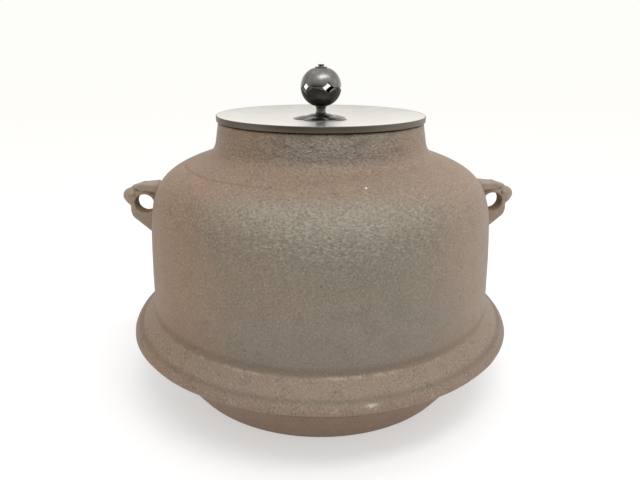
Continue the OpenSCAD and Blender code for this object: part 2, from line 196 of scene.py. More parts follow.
class Finish(Tree):
    """A material whose colours and bumps are placed on the object in the frame's own metres."""

    def __init__(self, name):
        super().__init__(bpy.data.materials.new(name))
        self.shader = self.tree.nodes["Principled BSDF"]
        self.place = self.node("ShaderNodeTexCoord", out="Object")
        split = self.node("ShaderNodeSeparateXYZ", None, {0: self.place}).socket.node
        self.x, self.y, self.z = (Wire(self, socket) for socket in split.outputs)
        self.radius = (self.x * self.x + self.y * self.y) ** 0.5

    def grain(self, size, detail=2.0, roughness=0.5, distortion=0.0):
        """Noise between 0 and 1 whose lumps are about this size in metres."""
        sockets = {"Vector": self.place, "Scale": 1 / size, "Detail": detail,
                   "Roughness": roughness, "Distortion": distortion}
        return self.node("ShaderNodeTexNoise", None, sockets)

    def fine_grain(self, size, squeeze=(1, 1, 1), detail=2.0, distortion=0.0):
        """Noise narrowed along each axis by these factors, and turned to hide its lattice."""
        place = self.node("ShaderNodeVectorMath", {"operation": "MULTIPLY"}, {0: self.place, 1: squeeze})
        settings = {"rotation_type": "EULER_XYZ"}
        place = self.node("ShaderNodeVectorRotate", settings, {"Vector": place, "Rotation": FINE_TURN})
        sockets = {"Vector": place, "Scale": 1 / size, "Detail": detail, "Roughness": FINE_ROUGHNESS,
                   "Distortion": distortion}
        return self.node("ShaderNodeTexNoise", None, sockets)

    def cells(self, size):
        """Distance to the nearest of many scattered points, about this size in metres apart."""
        return self.node("ShaderNodeTexVoronoi", None, {"Vector": self.place, "Scale": 1 / size})

    def set(self, **sockets):
        """Feeds the shader's sockets by their names, with _ for each space."""
        for key, value in sockets.items():
            self.feed(self.shader.inputs[key.replace("_", " ")], value)

    def bump(self, height, depth, strength=1.0, under=None):
        """Normal of a skin whose height runs from 0 to 1 over this depth in metres."""
        sockets = {"Height": height, "Distance": depth, "Strength": strength}
        if under is not None:
            sockets["Normal"] = under
        return self.node("ShaderNodeBump", None, sockets)


print("finishes ready")

# %% [markdown]
# ## Lines that are spun
# A kettle like this is cast in a mould that was swept round with a board cut to half its outline. The
# same is done here: a line of (radius, height) points is spun round Z. Blender's Screw modifier could do
# it too, but a short function leaves every point in our hands. Curves come from a few control points,
# as on the drawing board.

# %% Curves
def curve(controls, steps):
    """Bezier curve through the first and last control point, as (radius, height) rows."""
    t = np.linspace(0, 1, steps + 1)[:, None]
    rows = [np.broadcast_to(np.array(c, float), (steps + 1, 2)) for c in controls]
    while len(rows) > 1:
        rows = [a * (1 - t) + b * t for a, b in zip(rows, rows[1:])]
    return rows[0]


def arc(centre, radius, start, stop, steps=8):
    """Points on a circle from one angle to another, in degrees."""
    turn = np.radians(np.linspace(start, stop, steps + 1))[:, None]
    return np.array(centre) + radius * np.hstack([np.cos(turn), np.sin(turn)])


def close_up(line, gap):
    """The same line with points added so that none is further than gap from the next."""
    rows = [line[:1]]
    for a, b in zip(line, line[1:]):
        count = max(1, math.ceil(np.linalg.norm(b - a) / gap))
        rows.append(a + (b - a) * np.linspace(0, 1, count + 1)[1:, None])
    return np.vstack(rows)


print("curves ready")

# %% Spinning
TURNS = 256
SHARP_ANGLE = 38
WELD = 1e-6


def make_object(name, points, faces, sharp_angle=SHARP_ANGLE):
    """Mesh object with welded points, outward normals and soft shading below the given angle."""
    mesh = bpy.data.meshes.new(name)
    mesh.from_pydata(np.asarray(points).tolist(), [], faces)
    work = bmesh.new()
    work.from_mesh(mesh)
    bmesh.ops.remove_doubles(work, verts=work.verts, dist=WELD)
    bmesh.ops.recalc_face_normals(work, faces=work.faces)
    work.to_mesh(mesh)
    work.free()
    mesh.shade_smooth()
    mesh.set_sharp_from_angle(angle=math.radians(sharp_angle))
    made = bpy.data.objects.new(name, mesh)
    bpy.context.scene.collection.objects.link(made)
    return made


def ring_faces(rows, turns, bands):
    """Faces between closed rings of points, from each ring to the next for this many bands."""
    return [(i * turns + j, i * turns + (j + 1) % turns,
             (i + 1) % rows * turns + (j + 1) % turns, (i + 1) % rows * turns + j)
            for i in range(bands) for j in range(turns)]


def spin(name, line, turns=TURNS, loop=False, shift=None, sharp_angle=SHARP_ANGLE):
    """Spins a line round Z. loop joins its end to its start; shift moves the points before they join."""
    turn = np.arange(turns) * 2 * math.pi / turns
    radius, height = np.asarray(line).T
    points = np.stack([np.outer(radius, np.cos(turn)), np.outer(radius, np.sin(turn)),
                       np.outer(height, np.ones(turns))], -1).reshape(-1, 3)
    if shift is not None:
        points = shift(points)
    faces = ring_faces(len(line), turns, len(line) if loop else len(line) - 1)
    return make_object(name, points, faces, sharp_angle)


def dress(piece, body, slot, finish, *nodes):
    """Lets a piece ride on its body, stand for its CAD nodes and wear its finish."""
    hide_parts(*nodes)
    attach(piece, body)
    piece.data.materials.append(finish.owner)
    print("%s: %d points" % (piece.name, len(piece.data.vertices)))


print("spinning ready: %d points to a turn" % TURNS)

# %% [markdown]
# ## The kettle's outline
# Foot, flared bowl, drooping flange, upright wall, round shoulder and short neck. The flange has a soft
# hollow just inside its rim, so the rim reads as a bead. It could be pulled out of a cylinder loop by
# loop, but an outline keeps each size as a number with a name. The inner line follows the outer one at
# the thickness of the wall, and both are drawn with the same control points as the part.

# %% Sizes of the casting
LIP_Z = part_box("kettle_body")[1].z
FOOT_R = 98.2 * MM
FOOT_EDGE = 1.2 * MM
BOWL = np.array([115.0, 27.0]) * MM
BOWL_SWELL = 0.6 * MM
WALL_R = 116.7 * MM
FLANGE_ROOT = np.array([116.7, 55.6]) * MM
FLANGE_UNDER = np.array([116.25, 48.0]) * MM
FLANGE_FILLET = 2.2 * MM
RIM_CENTRE = np.array([130.3, 41.0]) * MM
RIM_ROUND, RIM_FROM, RIM_TO = 1.4 * MM, -120, 30
BEAD_LENGTH, BEAD_DIRECTION = 4.0 * MM, np.array([-0.5, math.sqrt(0.75)])
CREASE = np.array([126.0, 46.5]) * MM
SHOULDER = np.array([114.8, 110.0]) * MM
SHOULDER_LIFT, SHOULDER_PULL = 31.5 * MM, 27.2 * MM
SHOULDER_SLOPE = math.radians(18.5)
NECK_R = 68.1 * MM
NECK_ROOT = np.array([71.0, 157.9]) * MM
NECK_CURVE = 7.4 * MM
MOUTH_R = 62.5 * MM
LIP_ROUND = 1.2 * MM
WALL_T = 3.6 * MM
FLOOR_T = 5.0 * MM
INNER_FOOT = np.array([97.2, 5.0]) * MM
INNER_RISE, INNER_RUN = (2.0 * MM, 4.0 * MM), (5.0 * MM, 0)
BOWL_STEPS, RIM_STEPS, BEAD_STEPS, FILLET_STEPS, WALL_STEPS = 12, 10, 10, 8, 16
SHOULDER_STEPS, NECK_STEPS, LIP_STEPS, MOUTH_STEPS, INNER_STEPS = 32, 10, 6, 8, 6
print("sizes: wall %.1f mm, flange %.1f mm out" % (WALL_R / MM, (RIM_CENTRE[0] + RIM_ROUND) / MM))

# %% Outer line of the casting
def unit(vector):
    """The same direction, one long."""
    return vector / np.linalg.norm(vector)


bowl_tilt = math.degrees(math.atan2(BOWL[1], BOWL[0] - FOOT_R))
foot_line = arc((FOOT_R - FOOT_EDGE, FOOT_EDGE), FOOT_EDGE, -90, bowl_tilt - 90)
bowl_out = np.array([math.sin(math.radians(bowl_tilt)), -math.cos(math.radians(bowl_tilt))])
bowl_bend = (foot_line[-1] + BOWL) / 2 + 2 * BOWL_SWELL * bowl_out
bowl_line = curve([foot_line[-1], bowl_bend, BOWL], BOWL_STEPS)[1:]
rim_line = arc(RIM_CENTRE, RIM_ROUND, RIM_FROM, RIM_TO, RIM_STEPS)
bead_bend = rim_line[-1] + BEAD_LENGTH * BEAD_DIRECTION
bead_line = curve([rim_line[-1], bead_bend, CREASE], BEAD_STEPS)[1:]
flange_line = np.vstack([[FLANGE_UNDER], rim_line, bead_line])
flange_top = unit(CREASE - FLANGE_ROOT)
fillet_line = curve([FLANGE_ROOT + FLANGE_FILLET * flange_top, FLANGE_ROOT,
                     FLANGE_ROOT + (0, FLANGE_FILLET)], FILLET_STEPS)
wall_bend = np.array([WALL_R, (FLANGE_ROOT[1] + SHOULDER[1]) / 2])
wall_line = curve([fillet_line[-1], wall_bend, SHOULDER], WALL_STEPS)[1:]
shoulder_dir = np.array([math.cos(SHOULDER_SLOPE), -math.sin(SHOULDER_SLOPE)])
shoulder_end = NECK_ROOT + NECK_CURVE * shoulder_dir
shoulder_line = curve([SHOULDER, SHOULDER + SHOULDER_LIFT * unit(SHOULDER - wall_bend),
                       shoulder_end + SHOULDER_PULL * shoulder_dir, shoulder_end], SHOULDER_STEPS)[1:]
neck_up = unit(np.array([NECK_R, LIP_Z - LIP_ROUND]) - NECK_ROOT)
neck_line = curve([shoulder_end, NECK_ROOT, NECK_ROOT + NECK_CURVE * neck_up], NECK_STEPS)[1:]
lip_line = np.vstack([
    arc((NECK_R - LIP_ROUND, LIP_Z - LIP_ROUND), LIP_ROUND, 0, 90, LIP_STEPS),
    arc((MOUTH_R + LIP_ROUND, LIP_Z - LIP_ROUND), LIP_ROUND, 90, 180, LIP_STEPS)])
skin_line = np.vstack([fillet_line[-1:], wall_line, shoulder_line, neck_line])
outer_line = np.vstack([[[0, 0]], foot_line, bowl_line, flange_line, fillet_line[:-1], skin_line, lip_line])
print("outer line: %d points" % len(outer_line))

# %% Inner line of the casting
skin = np.vstack([[BOWL], wall_line, shoulder_line])
along = np.gradient(skin, axis=0)
along /= np.linalg.norm(along, axis=1, keepdims=True)
inner_wall = skin + WALL_T * np.stack([-along[:, 1], along[:, 0]], 1)
mouth_rise = (inner_wall[-1][0] - MOUTH_R) * math.tan(SHOULDER_SLOPE)
mouth_bend = np.array([MOUTH_R, inner_wall[-1][1] + mouth_rise])
mouth_line = curve([inner_wall[-1], mouth_bend, mouth_bend + (0, NECK_CURVE)], MOUTH_STEPS)[1:]
corner_line = curve([INNER_FOOT + INNER_RISE, INNER_FOOT, INNER_FOOT - INNER_RUN], INNER_STEPS)
inner_line = np.vstack([mouth_line[::-1], inner_wall[::-1], corner_line, [[0, FLOOR_T]]])
print("inner line: %d points, lip at %.1f mm" % (len(inner_line), LIP_Z / MM))

# %% [markdown]
# ## Slightly out of true
# Sand moulds are never quite round. A slow wave of a few tenths of a millimetre moves the outer skin, and
# it fades out at the foot, the lip and the lugs, where other pieces must still meet it. A Displace
# modifier would move those too, so the points are moved by a formula before they become a mesh.

# %% Unevenness of the casting
WAVE_DEPTH = 0.45 * MM
WAVE_SIZE = 40 * MM
WAVE_FADE, WAVE_STEP, WAVE_LAYERS = 1.0, 2.0, 3
STILL_EDGE = 8 * MM
LUG_Z = (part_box("lug_right")[0].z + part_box("lug_right")[1].z) / 2
LUG_STILL, LUG_FADE = 26 * MM, 18 * MM


def uneven(points):
    """Moves the skin in and out along its radius, but not at foot, lip, lugs and axis."""
    radius = np.hypot(points[:, 0], points[:, 1])
    from_lug = np.hypot(points[:, 1], points[:, 2] - LUG_Z)
    share = np.clip((from_lug - LUG_STILL) / LUG_FADE, 0, 1)
    share *= np.clip(points[:, 2] / STILL_EDGE, 0, 1) * np.clip((LIP_Z - points[:, 2]) / STILL_EDGE, 0, 1)
    share *= np.clip(radius / STILL_EDGE, 0, 1)
    wave = np.array([noise.fractal(Vector(p) / WAVE_SIZE, WAVE_FADE, WAVE_STEP, WAVE_LAYERS) for p in points])
    grow = 1 + share * WAVE_DEPTH * wave / np.maximum(radius, STILL_EDGE)
    return np.column_stack([points[:, :2] * grow[:, None], points[:, 2]])


print("unevenness: about %.2f mm" % (WAVE_DEPTH / MM))

# %% [markdown]
# ## The iron skin
# Age turned the iron brown: warmer on the left, pinker round the neck's foot, grey in front and redder
# under the flange. A photograph could be wrapped round it, but a formula of noises stays sharp at any
# distance and carries no picture with it. First come the places, as masks between 0 and 1 that follow
# height and direction, with slow clouds of noise to keep their borders ragged.

# %% Places on the kettle
LEFT_BAND, FRONT_BAND = (0.0, 0.85), (0.66, 1.0)
FRONT_RAGGED, FRONT_LEFT_LOSS = 0.2, 0.35
SHOULDER_BAND, NECK_BAND = (134 * MM, 152 * MM), (156 * MM, 168 * MM)
LOW_WALL_BAND, UNDER_BAND = (70 * MM, 105 * MM), (36 * MM, 40.5 * MM)
FLANGE_START, FLANGE_TOP = (117.0 * MM, 118.5 * MM), (56 * MM, 60 * MM)
AXIS_CLEAR = 1 * MM
kettle_iron = Finish("kettle_iron")
clouds = kettle_iron.grain(size=42 * MM, detail=4.0, roughness=0.6)
mottle = kettle_iron.grain(size=10 * MM, detail=4.0, roughness=0.62)
across, height = kettle_iron.x, kettle_iron.z
radius = kettle_iron.radius
safe_radius = radius.at_least(AXIS_CLEAR)
left = (0 - across / safe_radius).rise(*LEFT_BAND)
ragged = (clouds - 0.5) * FRONT_RAGGED
front = (ragged - kettle_iron.y / safe_radius).rise(*FRONT_BAND) * (1 - FRONT_LEFT_LOSS * left)
shoulder = height.rise(*SHOULDER_BAND)
neck = height.rise(*NECK_BAND)
low_wall = 1 - height.rise(*LOW_WALL_BAND)
under = 1 - height.rise(*UNDER_BAND)
flange = radius.rise(*FLANGE_START) * (1 - under) * (1 - height.rise(*FLANGE_TOP))
print("places on the kettle: %d nodes" % len(kettle_iron.tree.nodes))

# %% Tones of the iron
BROWN = (0.265, 0.193, 0.136, 1)
WARM_BROWN = (0.250, 0.155, 0.084, 1)
GREY_GREEN, GREY_GAIN = (0.199, 0.170, 0.123, 1), 1.7
MAUVE, MAUVE_SHARE = (0.211, 0.171, 0.136, 1), 0.8
PINK_BROWN, PINK_GAIN = (0.284, 0.186, 0.125, 1), 1.5
NECK_GREY, NECK_GREY_LEAST = (0.236, 0.188, 0.143, 1), 0.3
NECK_WARMTH = 0.6
FLANGE_BROWN, FLANGE_LEFT_LOSS = (0.240, 0.178, 0.128, 1), 0.5
RED_BROWN = (0.184, 0.106, 0.055, 1)
MOTTLE_BAND, MOTTLE_SHARE, MOTTLE_TINT = (0.50, 0.75), 0.5, (0.74, 0.70, 0.68, 1)
CLOUD_BAND, CLOUD_SHARE, CLOUD_TINT = (0.52, 0.72), 0.35, (0.80, 0.77, 0.75, 1)
RUST_BAND, RUST_SHARE, RUST = (0.55, 0.72), 0.24, (0.290, 0.150, 0.085, 1)
colour = kettle_iron.blend(left, BROWN, WARM_BROWN)
colour = kettle_iron.blend((front * (clouds * GREY_GAIN)).at_most(1), colour, GREY_GREEN)
colour = kettle_iron.blend(front * low_wall * MAUVE_SHARE, colour, MAUVE)
colour = kettle_iron.blend((shoulder * (clouds * PINK_GAIN)).at_most(1), colour, PINK_BROWN)
colour = kettle_iron.blend(neck * left * NECK_WARMTH, colour, WARM_BROWN)
colour = kettle_iron.blend(neck * front * (NECK_GREY_LEAST + clouds), colour, NECK_GREY)
colour = kettle_iron.blend(flange * (1 - FLANGE_LEFT_LOSS * left), colour, FLANGE_BROWN)
colour = kettle_iron.blend(under, colour, RED_BROWN)
colour = kettle_iron.tint(mottle.rise(*MOTTLE_BAND) * MOTTLE_SHARE, colour, MOTTLE_TINT)
colour = kettle_iron.tint(clouds.rise(*CLOUD_BAND) * CLOUD_SHARE, colour, CLOUD_TINT)
rusty = kettle_iron.grain(size=30 * MM, detail=3.0, distortion=0.6).rise(*RUST_BAND) * left
colour = kettle_iron.blend(rusty * RUST_SHARE, colour, RUST)
print("tones of the iron: %d nodes" % len(kettle_iron.tree.nodes))

# %% [markdown]
# ## Tone of the lugs
# The lugs stand out from the wall and are rubbed by hands and rings: pale on their ridges, and dark in
# their hollows, where dirt stays and where shade is painted in as well. They could have a finish of their
# own, but they are one iron with the kettle, so a formula of the wall's outline tells where a lug begins.
# Cycles measures how sharply a mesh bends at each point and calls it pointiness. That finds ridges and
# hollows without any painted map.

# %% Tone of the lugs
LUG_BROWN, LUG_SHARE = (0.314, 0.240, 0.176, 1), 0.9
LUG_WALL_R, LUG_START = 115.5 * MM, (0.8 * MM, 3.5 * MM)
LEAN_START, LEAN_RUN, LEAN_DEPTH = 95 * MM, 30 * MM, 2.7 * MM
LUG_LOW, LUG_HIGH = (93 * MM, 97 * MM), (138 * MM, 142 * MM)
HOLLOW_BEND, HOLLOW_SHADE_AND_DIRT_TINT = (0.40, 0.50), (0.50, 0.44, 0.38, 1)
RIDGE_BEND, RIDGE_SHARE, RIDGE_TONE = (0.52, 0.62), 0.4, (0.44, 0.37, 0.30, 1)
wall_lean = (height - LEAN_START).at_least(0) / LEAN_RUN
off_wall = radius - LUG_WALL_R + (wall_lean ** 3) * LEAN_DEPTH
on_lug = off_wall.rise(*LUG_START) * (height.rise(*LUG_LOW) * (1 - height.rise(*LUG_HIGH)))
colour = kettle_iron.blend(on_lug * LUG_SHARE, colour, LUG_BROWN)
bend = kettle_iron.node("ShaderNodeNewGeometry", out="Pointiness")
# Painted shade with dirt: the lugs' hollows, found by pointiness, are darkened.
colour = kettle_iron.tint((1 - bend.rise(*HOLLOW_BEND)) * on_lug, colour, HOLLOW_SHADE_AND_DIRT_TINT)
colour = kettle_iron.blend(bend.rise(*RIDGE_BEND) * on_lug * RIDGE_SHARE, colour, RIDGE_TONE)
print("tone of the lugs: %d nodes" % len(kettle_iron.tree.nodes))

# %% [markdown]
# ## Sand and pebbles
# The mould was dusted with sand, so the iron has a fine grained skin, coarser and a little shinier on
# neck and upper front. A pale band of colour on the turn of the shoulder is a painted sheen. Real grains
# could be scattered over the mesh, but at a millimetre or two a bump does the same with far fewer faces.
# The gaps between grains are tinted darker and their tops paler, as wear and dirt leave them.

# %% Where the skin is coarse
COARSE_LOW, COARSE_HIGH = (104 * MM, 128 * MM), (144 * MM, 153 * MM)
NECK_COARSE, NECK_COARSE_FRONT = 0.30, 0.45
COARSE_TONE, COARSE_SHARE, COARSE_SHARE_FRONT = (0.296, 0.272, 0.224, 1), 0.15, 0.30
ROUGH_PLACES = (0.40, 0.60)
SHEEN_PAINT_LOW, SHEEN_PAINT_HIGH = (127 * MM, 138 * MM), (142 * MM, 151 * MM)
SHEEN_PAINT_RIGHT, SHEEN_PAINT_RIGHT_LOSS = (0.15, 0.45), 0.5
SHEEN_PAINT_TONE, SHEEN_PAINT_SHARE, SHEEN_PAINT_SHARE_MOTTLE = (0.420, 0.372, 0.300, 1), 0.10, 0.5
WALL_GRAIN, WALL_GRAIN_BAND = 0.55, (54 * MM, 66 * MM)
UPPER_GRAIN, UPPER_GRAIN_BAND = 0.90, (116 * MM, 132 * MM)
coarse = front * height.rise(*COARSE_LOW) * (1 - height.rise(*COARSE_HIGH))
coarse = (coarse + neck * (NECK_COARSE + NECK_COARSE_FRONT * front)).at_most(1)
rough_flange = flange * mottle.rise(*ROUGH_PLACES)
colour = kettle_iron.blend(coarse * (COARSE_SHARE + COARSE_SHARE_FRONT * front), colour, COARSE_TONE)
# Painted sheen: a paler band of colour where light glances on the turn of the shoulder in front.
painted_sheen_band = front * height.rise(*SHEEN_PAINT_LOW) * (1 - height.rise(*SHEEN_PAINT_HIGH))
painted_sheen_band = painted_sheen_band * (1 - SHEEN_PAINT_RIGHT_LOSS * (across / safe_radius).rise(*SHEEN_PAINT_RIGHT))
colour = kettle_iron.blend(painted_sheen_band * (SHEEN_PAINT_SHARE + SHEEN_PAINT_SHARE_MOTTLE * mottle), colour, SHEEN_PAINT_TONE)
grainy = WALL_GRAIN * height.rise(*WALL_GRAIN_BAND) + UPPER_GRAIN * height.rise(*UPPER_GRAIN_BAND)
grainy = grainy * (1 - on_lug) * (1 - coarse) * (1 - front * low_wall)
print("coarse skin: from %.0f mm up" % (COARSE_LOW[0] / MM))

# %% Sand and pebbles
SAND_GAP, SAND_GAP_TINT = (0.30, 0.52), (0.62, 0.58, 0.56, 1)
SAND_TOP, SAND_TOP_TONE = (0.52, 0.80), (0.47, 0.39, 0.31, 1)
PEBBLE_GAP, PEBBLE_GAP_TINT = (0.30, 0.54), (0.60, 0.58, 0.56, 1)
PEBBLE_TOP, PEBBLE_TOP_TONE = (0.50, 0.72), (0.54, 0.48, 0.40, 1)
RIPPLE_BAND, RIPPLE_TINT = (0.44, 0.66), (0.66, 0.64, 0.62, 1)
sand = kettle_iron.fine_grain(size=1.05 * MM)
pebble = kettle_iron.fine_grain(size=1.95 * MM, squeeze=(1.0, 1.0, 1.6), detail=4.0, distortion=0.1)
ripple = kettle_iron.fine_grain(size=11 * MM, squeeze=(1.0, 1.0, 2.2), detail=4.0)
# How strongly each grain shows: a share everywhere, and so much more in each rough place.
sand_gap_share = 0.45 + 0.45 * (rough_flange + 0.7 * under + 0.7 * grainy)
sand_top_share = 0.34 + 0.30 * rough_flange + 0.20 * grainy
pebble_gap_share = 0.10 + 0.12 * grainy + 0.54 * coarse + 0.10 * neck
pebble_top_share = 0.40 * coarse + 0.07 * grainy
ripple_share = 0.8 * (0.25 + 0.75 * front)
neck_ripple = ripple.rise(*RIPPLE_BAND) * neck * ripple_share
colour = kettle_iron.tint((1 - sand.rise(*SAND_GAP)) * sand_gap_share, colour, SAND_GAP_TINT)
colour = kettle_iron.blend(sand.rise(*SAND_TOP) * sand_top_share, colour, SAND_TOP_TONE)
colour = kettle_iron.tint((1 - pebble.rise(*PEBBLE_GAP)) * pebble_gap_share, colour, PEBBLE_GAP_TINT)
colour = kettle_iron.blend(pebble.rise(*PEBBLE_TOP) * pebble_top_share, colour, PEBBLE_TOP_TONE)
colour = kettle_iron.tint(neck_ripple, colour, RIPPLE_TINT)
sand_height = 0.6 + 0.4 * coarse
pebble_height = 0.08 + 0.08 * grainy + 0.92 * coarse
fine_skin = kettle_iron.bump(sand * sand_height, depth=0.9 * MM, strength=0.45)
skin_normal = kettle_iron.bump(pebble * pebble_height, depth=2.8 * MM, strength=0.60, under=fine_skin)
print("sand and pebbles: %d nodes" % len(kettle_iron.tree.nodes))

# %% [markdown]
# ## Pits, crust and marks
# Gas left small pits in the casting, and water and ash left a pale crust in the corner above the flange
# and on its rim. Shade is painted in as well: on the wall just above the flange, together with dirt, in
# the hollow inside the flange's rim, and in the ring holes, together with rust. A few single marks show
# that the kettle was used: a scuff on the rim and the line that the sweep board left on the shoulder. A
# small white dot on the shoulder is a painted glint. They could be painted on by hand. Here each is a
# short formula with a place of its own, so it can be moved by changing one value.

# %% Pits, crust and painted shade
PIT_BAND, PIT_PLACES = (0.04, 0.13), (0.45, 0.6)
PIT_SHARE, PIT_TINT = 0.75, (0.42, 0.37, 0.34, 1)
CORNER_LOW, CORNER_HIGH, CORNER_OUT = (50 * MM, 55 * MM), (56.5 * MM, 61.5 * MM), (117.2 * MM, 118.6 * MM)
CORNER_SHADE_SHARE, CORNER_SHADE_AND_DIRT_TINT = 0.75, (0.76, 0.68, 0.57, 1)
WALL_START = (50 * MM, 56 * MM)
DIP_R, DIP_WIDTH, DIP_LOW = 127.4 * MM, 3.0 * MM, (43 * MM, 44.5 * MM)
DIP_SHADE_TINT = (0.70, 0.70, 0.66, 1)
BEAD_START, BEAD_TINT = (128.8 * MM, 130 * MM), (0.93, 0.89, 0.87, 1)
SEAM_R, SEAM_WIDTH = 118.2 * MM, 1.3 * MM
SEAM_Z, SEAM_HEIGHT = 54.4 * MM, 2.2 * MM
CRUST_BAND, CRUST_PLACES = (0.42, 0.66), (0.40, 0.52)
DUST_BAND, DUST_START = (0.58, 0.76), (128.5 * MM, 130.5 * MM)
CRUST_SHARE, CRUST_TONE = 0.38, (0.56, 0.50, 0.43, 1)
pits = (1 - kettle_iron.cells(size=9 * MM).rise(*PIT_BAND)) * mottle.rise(*PIT_PLACES)
colour = kettle_iron.tint(pits * PIT_SHARE, colour, PIT_TINT)
# Painted shade with dirt: the wall is darkened just above the flange, in the corner where they meet.
wall_corner_shade = height.rise(*CORNER_LOW) * (1 - height.rise(*CORNER_HIGH)) * (1 - under)
wall_corner_shade = wall_corner_shade * (1 - radius.rise(*CORNER_OUT))
colour = kettle_iron.tint(wall_corner_shade * CORNER_SHADE_SHARE, colour, CORNER_SHADE_AND_DIRT_TINT)
below_wall = 1 - height.rise(*WALL_START)
# Painted shade: a darker band in the soft hollow inside the flange's rim.
dip_shade_share = 0.5 + 0.8 * clouds
painted_dip_shade = radius.bell(DIP_R, DIP_WIDTH) * height.rise(*DIP_LOW) * below_wall
colour = kettle_iron.tint(painted_dip_shade * dip_shade_share, colour, DIP_SHADE_TINT)
bead = radius.rise(*BEAD_START) * below_wall * (1 - under)
colour = kettle_iron.tint(bead, colour, BEAD_TINT)
crust_grain = kettle_iron.grain(size=4 * MM, detail=4.0)
seam_share = 0.1 + 0.9 * front
dust_share = 0.1 + 0.6 * front
seam = radius.bell(SEAM_R, SEAM_WIDTH) * height.bell(SEAM_Z, SEAM_HEIGHT)
seam_crust = seam * crust_grain.rise(*CRUST_BAND) * clouds.rise(*CRUST_PLACES) * seam_share
rim_dust = radius.rise(*DUST_START) * crust_grain.rise(*DUST_BAND) * dust_share
crust = (seam_crust + rim_dust * (1 - under) * below_wall).at_most(1)
colour = kettle_iron.blend(crust * CRUST_SHARE, colour, CRUST_TONE)
print("pits and crust: %d nodes" % len(kettle_iron.tree.nodes))

# %% Marks on the iron, a painted glint and painted shade in the ring holes
HOLE_EDGE, HOLE_OUTER_SIDE = (6.5 * MM, 7.2 * MM), (0.5 * MM, 5.5 * MM)
HOLE_INNER_SHADE_TINT, HOLE_OUTER_SHADE_TINT = (0.79, 0.72, 0.62, 1), (0.82, 0.78, 0.69, 1)
SHOULDER_GLINT, SHOULDER_GLINT_EDGE = (20.7 * MM, -86.3 * MM, 151.6 * MM), (0.4 * MM, 0.9 * MM)
SHOULDER_GLINT_TONE = (0.80, 0.78, 0.74, 1)
SCUFF, SCUFF_LONG, SCUFF_EDGE = (22.0 * MM, 44.2 * MM), 3.2, (0.3 * MM, 1.6 * MM)
SCUFF_GRAIN, SCUFF_SHARE, SCUFF_TONE = (0.30, 0.55), 0.65, (0.66, 0.60, 0.52, 1)
SWEEP_R, SWEEP_WIDTH, SWEEP_PLACES = 90.0 * MM, 1.3 * MM, (0.40, 0.55)
SWEEP_SHARE, SWEEP_TINT = 0.95, (0.70, 0.64, 0.60, 1)
hole_x, _, hole_z = next(m["pos_m"] for m in frame["record"]["mounts"] if m["name"] == "ring_hole_right")
past_hole = across.at_least(0 - across) - hole_x
from_hole = (past_hole ** 2 + (height - hole_z) ** 2) ** 0.5
# Painted shade with rust: the iron in the ring holes is darkened, most on the side towards the wall.
in_hole = 1 - from_hole.rise(*HOLE_EDGE)
hole_shade_tint = kettle_iron.blend(past_hole.rise(*HOLE_OUTER_SIDE), HOLE_INNER_SHADE_TINT, HOLE_OUTER_SHADE_TINT)
colour = kettle_iron.tint(in_hole, colour, hole_shade_tint)
# Painted glint: a small white dot on the shoulder.
glint_x, glint_y, glint_z = SHOULDER_GLINT
from_glint = ((across - glint_x) ** 2 + (kettle_iron.y - glint_y) ** 2 + (height - glint_z) ** 2) ** 0.5
colour = kettle_iron.blend(1 - from_glint.rise(*SHOULDER_GLINT_EDGE), colour, SHOULDER_GLINT_TONE)
scuff_x, scuff_z = SCUFF
from_scuff = (((across - scuff_x) / SCUFF_LONG) ** 2 + (height - scuff_z) ** 2) ** 0.5
scuff = (1 - from_scuff.rise(*SCUFF_EDGE)) * bead * front * sand.rise(*SCUFF_GRAIN)
colour = kettle_iron.blend(scuff * SCUFF_SHARE, colour, SCUFF_TONE)
sweep_mark = radius.bell(SWEEP_R, SWEEP_WIDTH) * shoulder * clouds.rise(*SWEEP_PLACES) * left
colour = kettle_iron.tint(sweep_mark * SWEEP_SHARE, colour, SWEEP_TINT)
print("ring hole: %.1f mm out, %.1f mm up" % (hole_x / MM, hole_z / MM))

# %% Gloss of the iron
IRON_ROUGHNESS, SAND_ROUGHNESS, HOLE_ROUGHNESS = 0.60, 0.25, 0.35
COARSE_GLOSS, PEBBLE_GLOSS, PEBBLE_GLOSS_BAND = 0.22, 0.16, (0.52, 0.74)
COARSE_METAL, IRON_SPECULAR = 0.4, 0.7
gloss = coarse * (COARSE_GLOSS + PEBBLE_GLOSS * pebble.rise(*PEBBLE_GLOSS_BAND))
iron_roughness = IRON_ROUGHNESS - gloss + (sand - 0.5) * SAND_ROUGHNESS + in_hole * HOLE_ROUGHNESS
kettle_iron.set(Base_Color=colour, Metallic=coarse * COARSE_METAL, Normal=skin_normal,
                Roughness=iron_roughness.at_most(1), Specular_IOR_Level=IRON_SPECULAR)
print("iron finish: %d nodes" % len(kettle_iron.tree.nodes))

# %% [markdown]
# ## Inside the kettle
# Years of boiling leave dark and red rust inside, with a broken grey line of scale where the water stands.
# The finish of the outside could be stretched to do this, but a second, simpler one is easier to read,
# and it keeps the outside's formulas free of it.

# %% Iron inside the kettle
RUST_DARK, RUST_RED, RUST_SPREAD = (0.150, 0.120, 0.100, 1), (0.300, 0.180, 0.105, 1), (0.40, 0.70)
SCALE_GREY, SCALE_SHARE, SCALE_PLACES = (0.36, 0.33, 0.29, 1), 0.5, (0.42, 0.62)
WATER_Z, WATER_WIDTH = 118 * MM, 9 * MM
INSIDE_ROUGHNESS, INSIDE_ROUGHNESS_SPREAD = 0.7, 0.2
kettle_inside = Finish("kettle_inside")
rust = kettle_inside.grain(size=14 * MM, detail=5.0, roughness=0.6)
inside_sand = kettle_inside.grain(size=1.8 * MM, detail=3.0)
water_line = kettle_inside.z.bell(WATER_Z, WATER_WIDTH) * rust.rise(*SCALE_PLACES)
inside_colour = kettle_inside.blend(rust.rise(*RUST_SPREAD), RUST_DARK, RUST_RED)
inside_colour = kettle_inside.blend(water_line * SCALE_SHARE, inside_colour, SCALE_GREY)
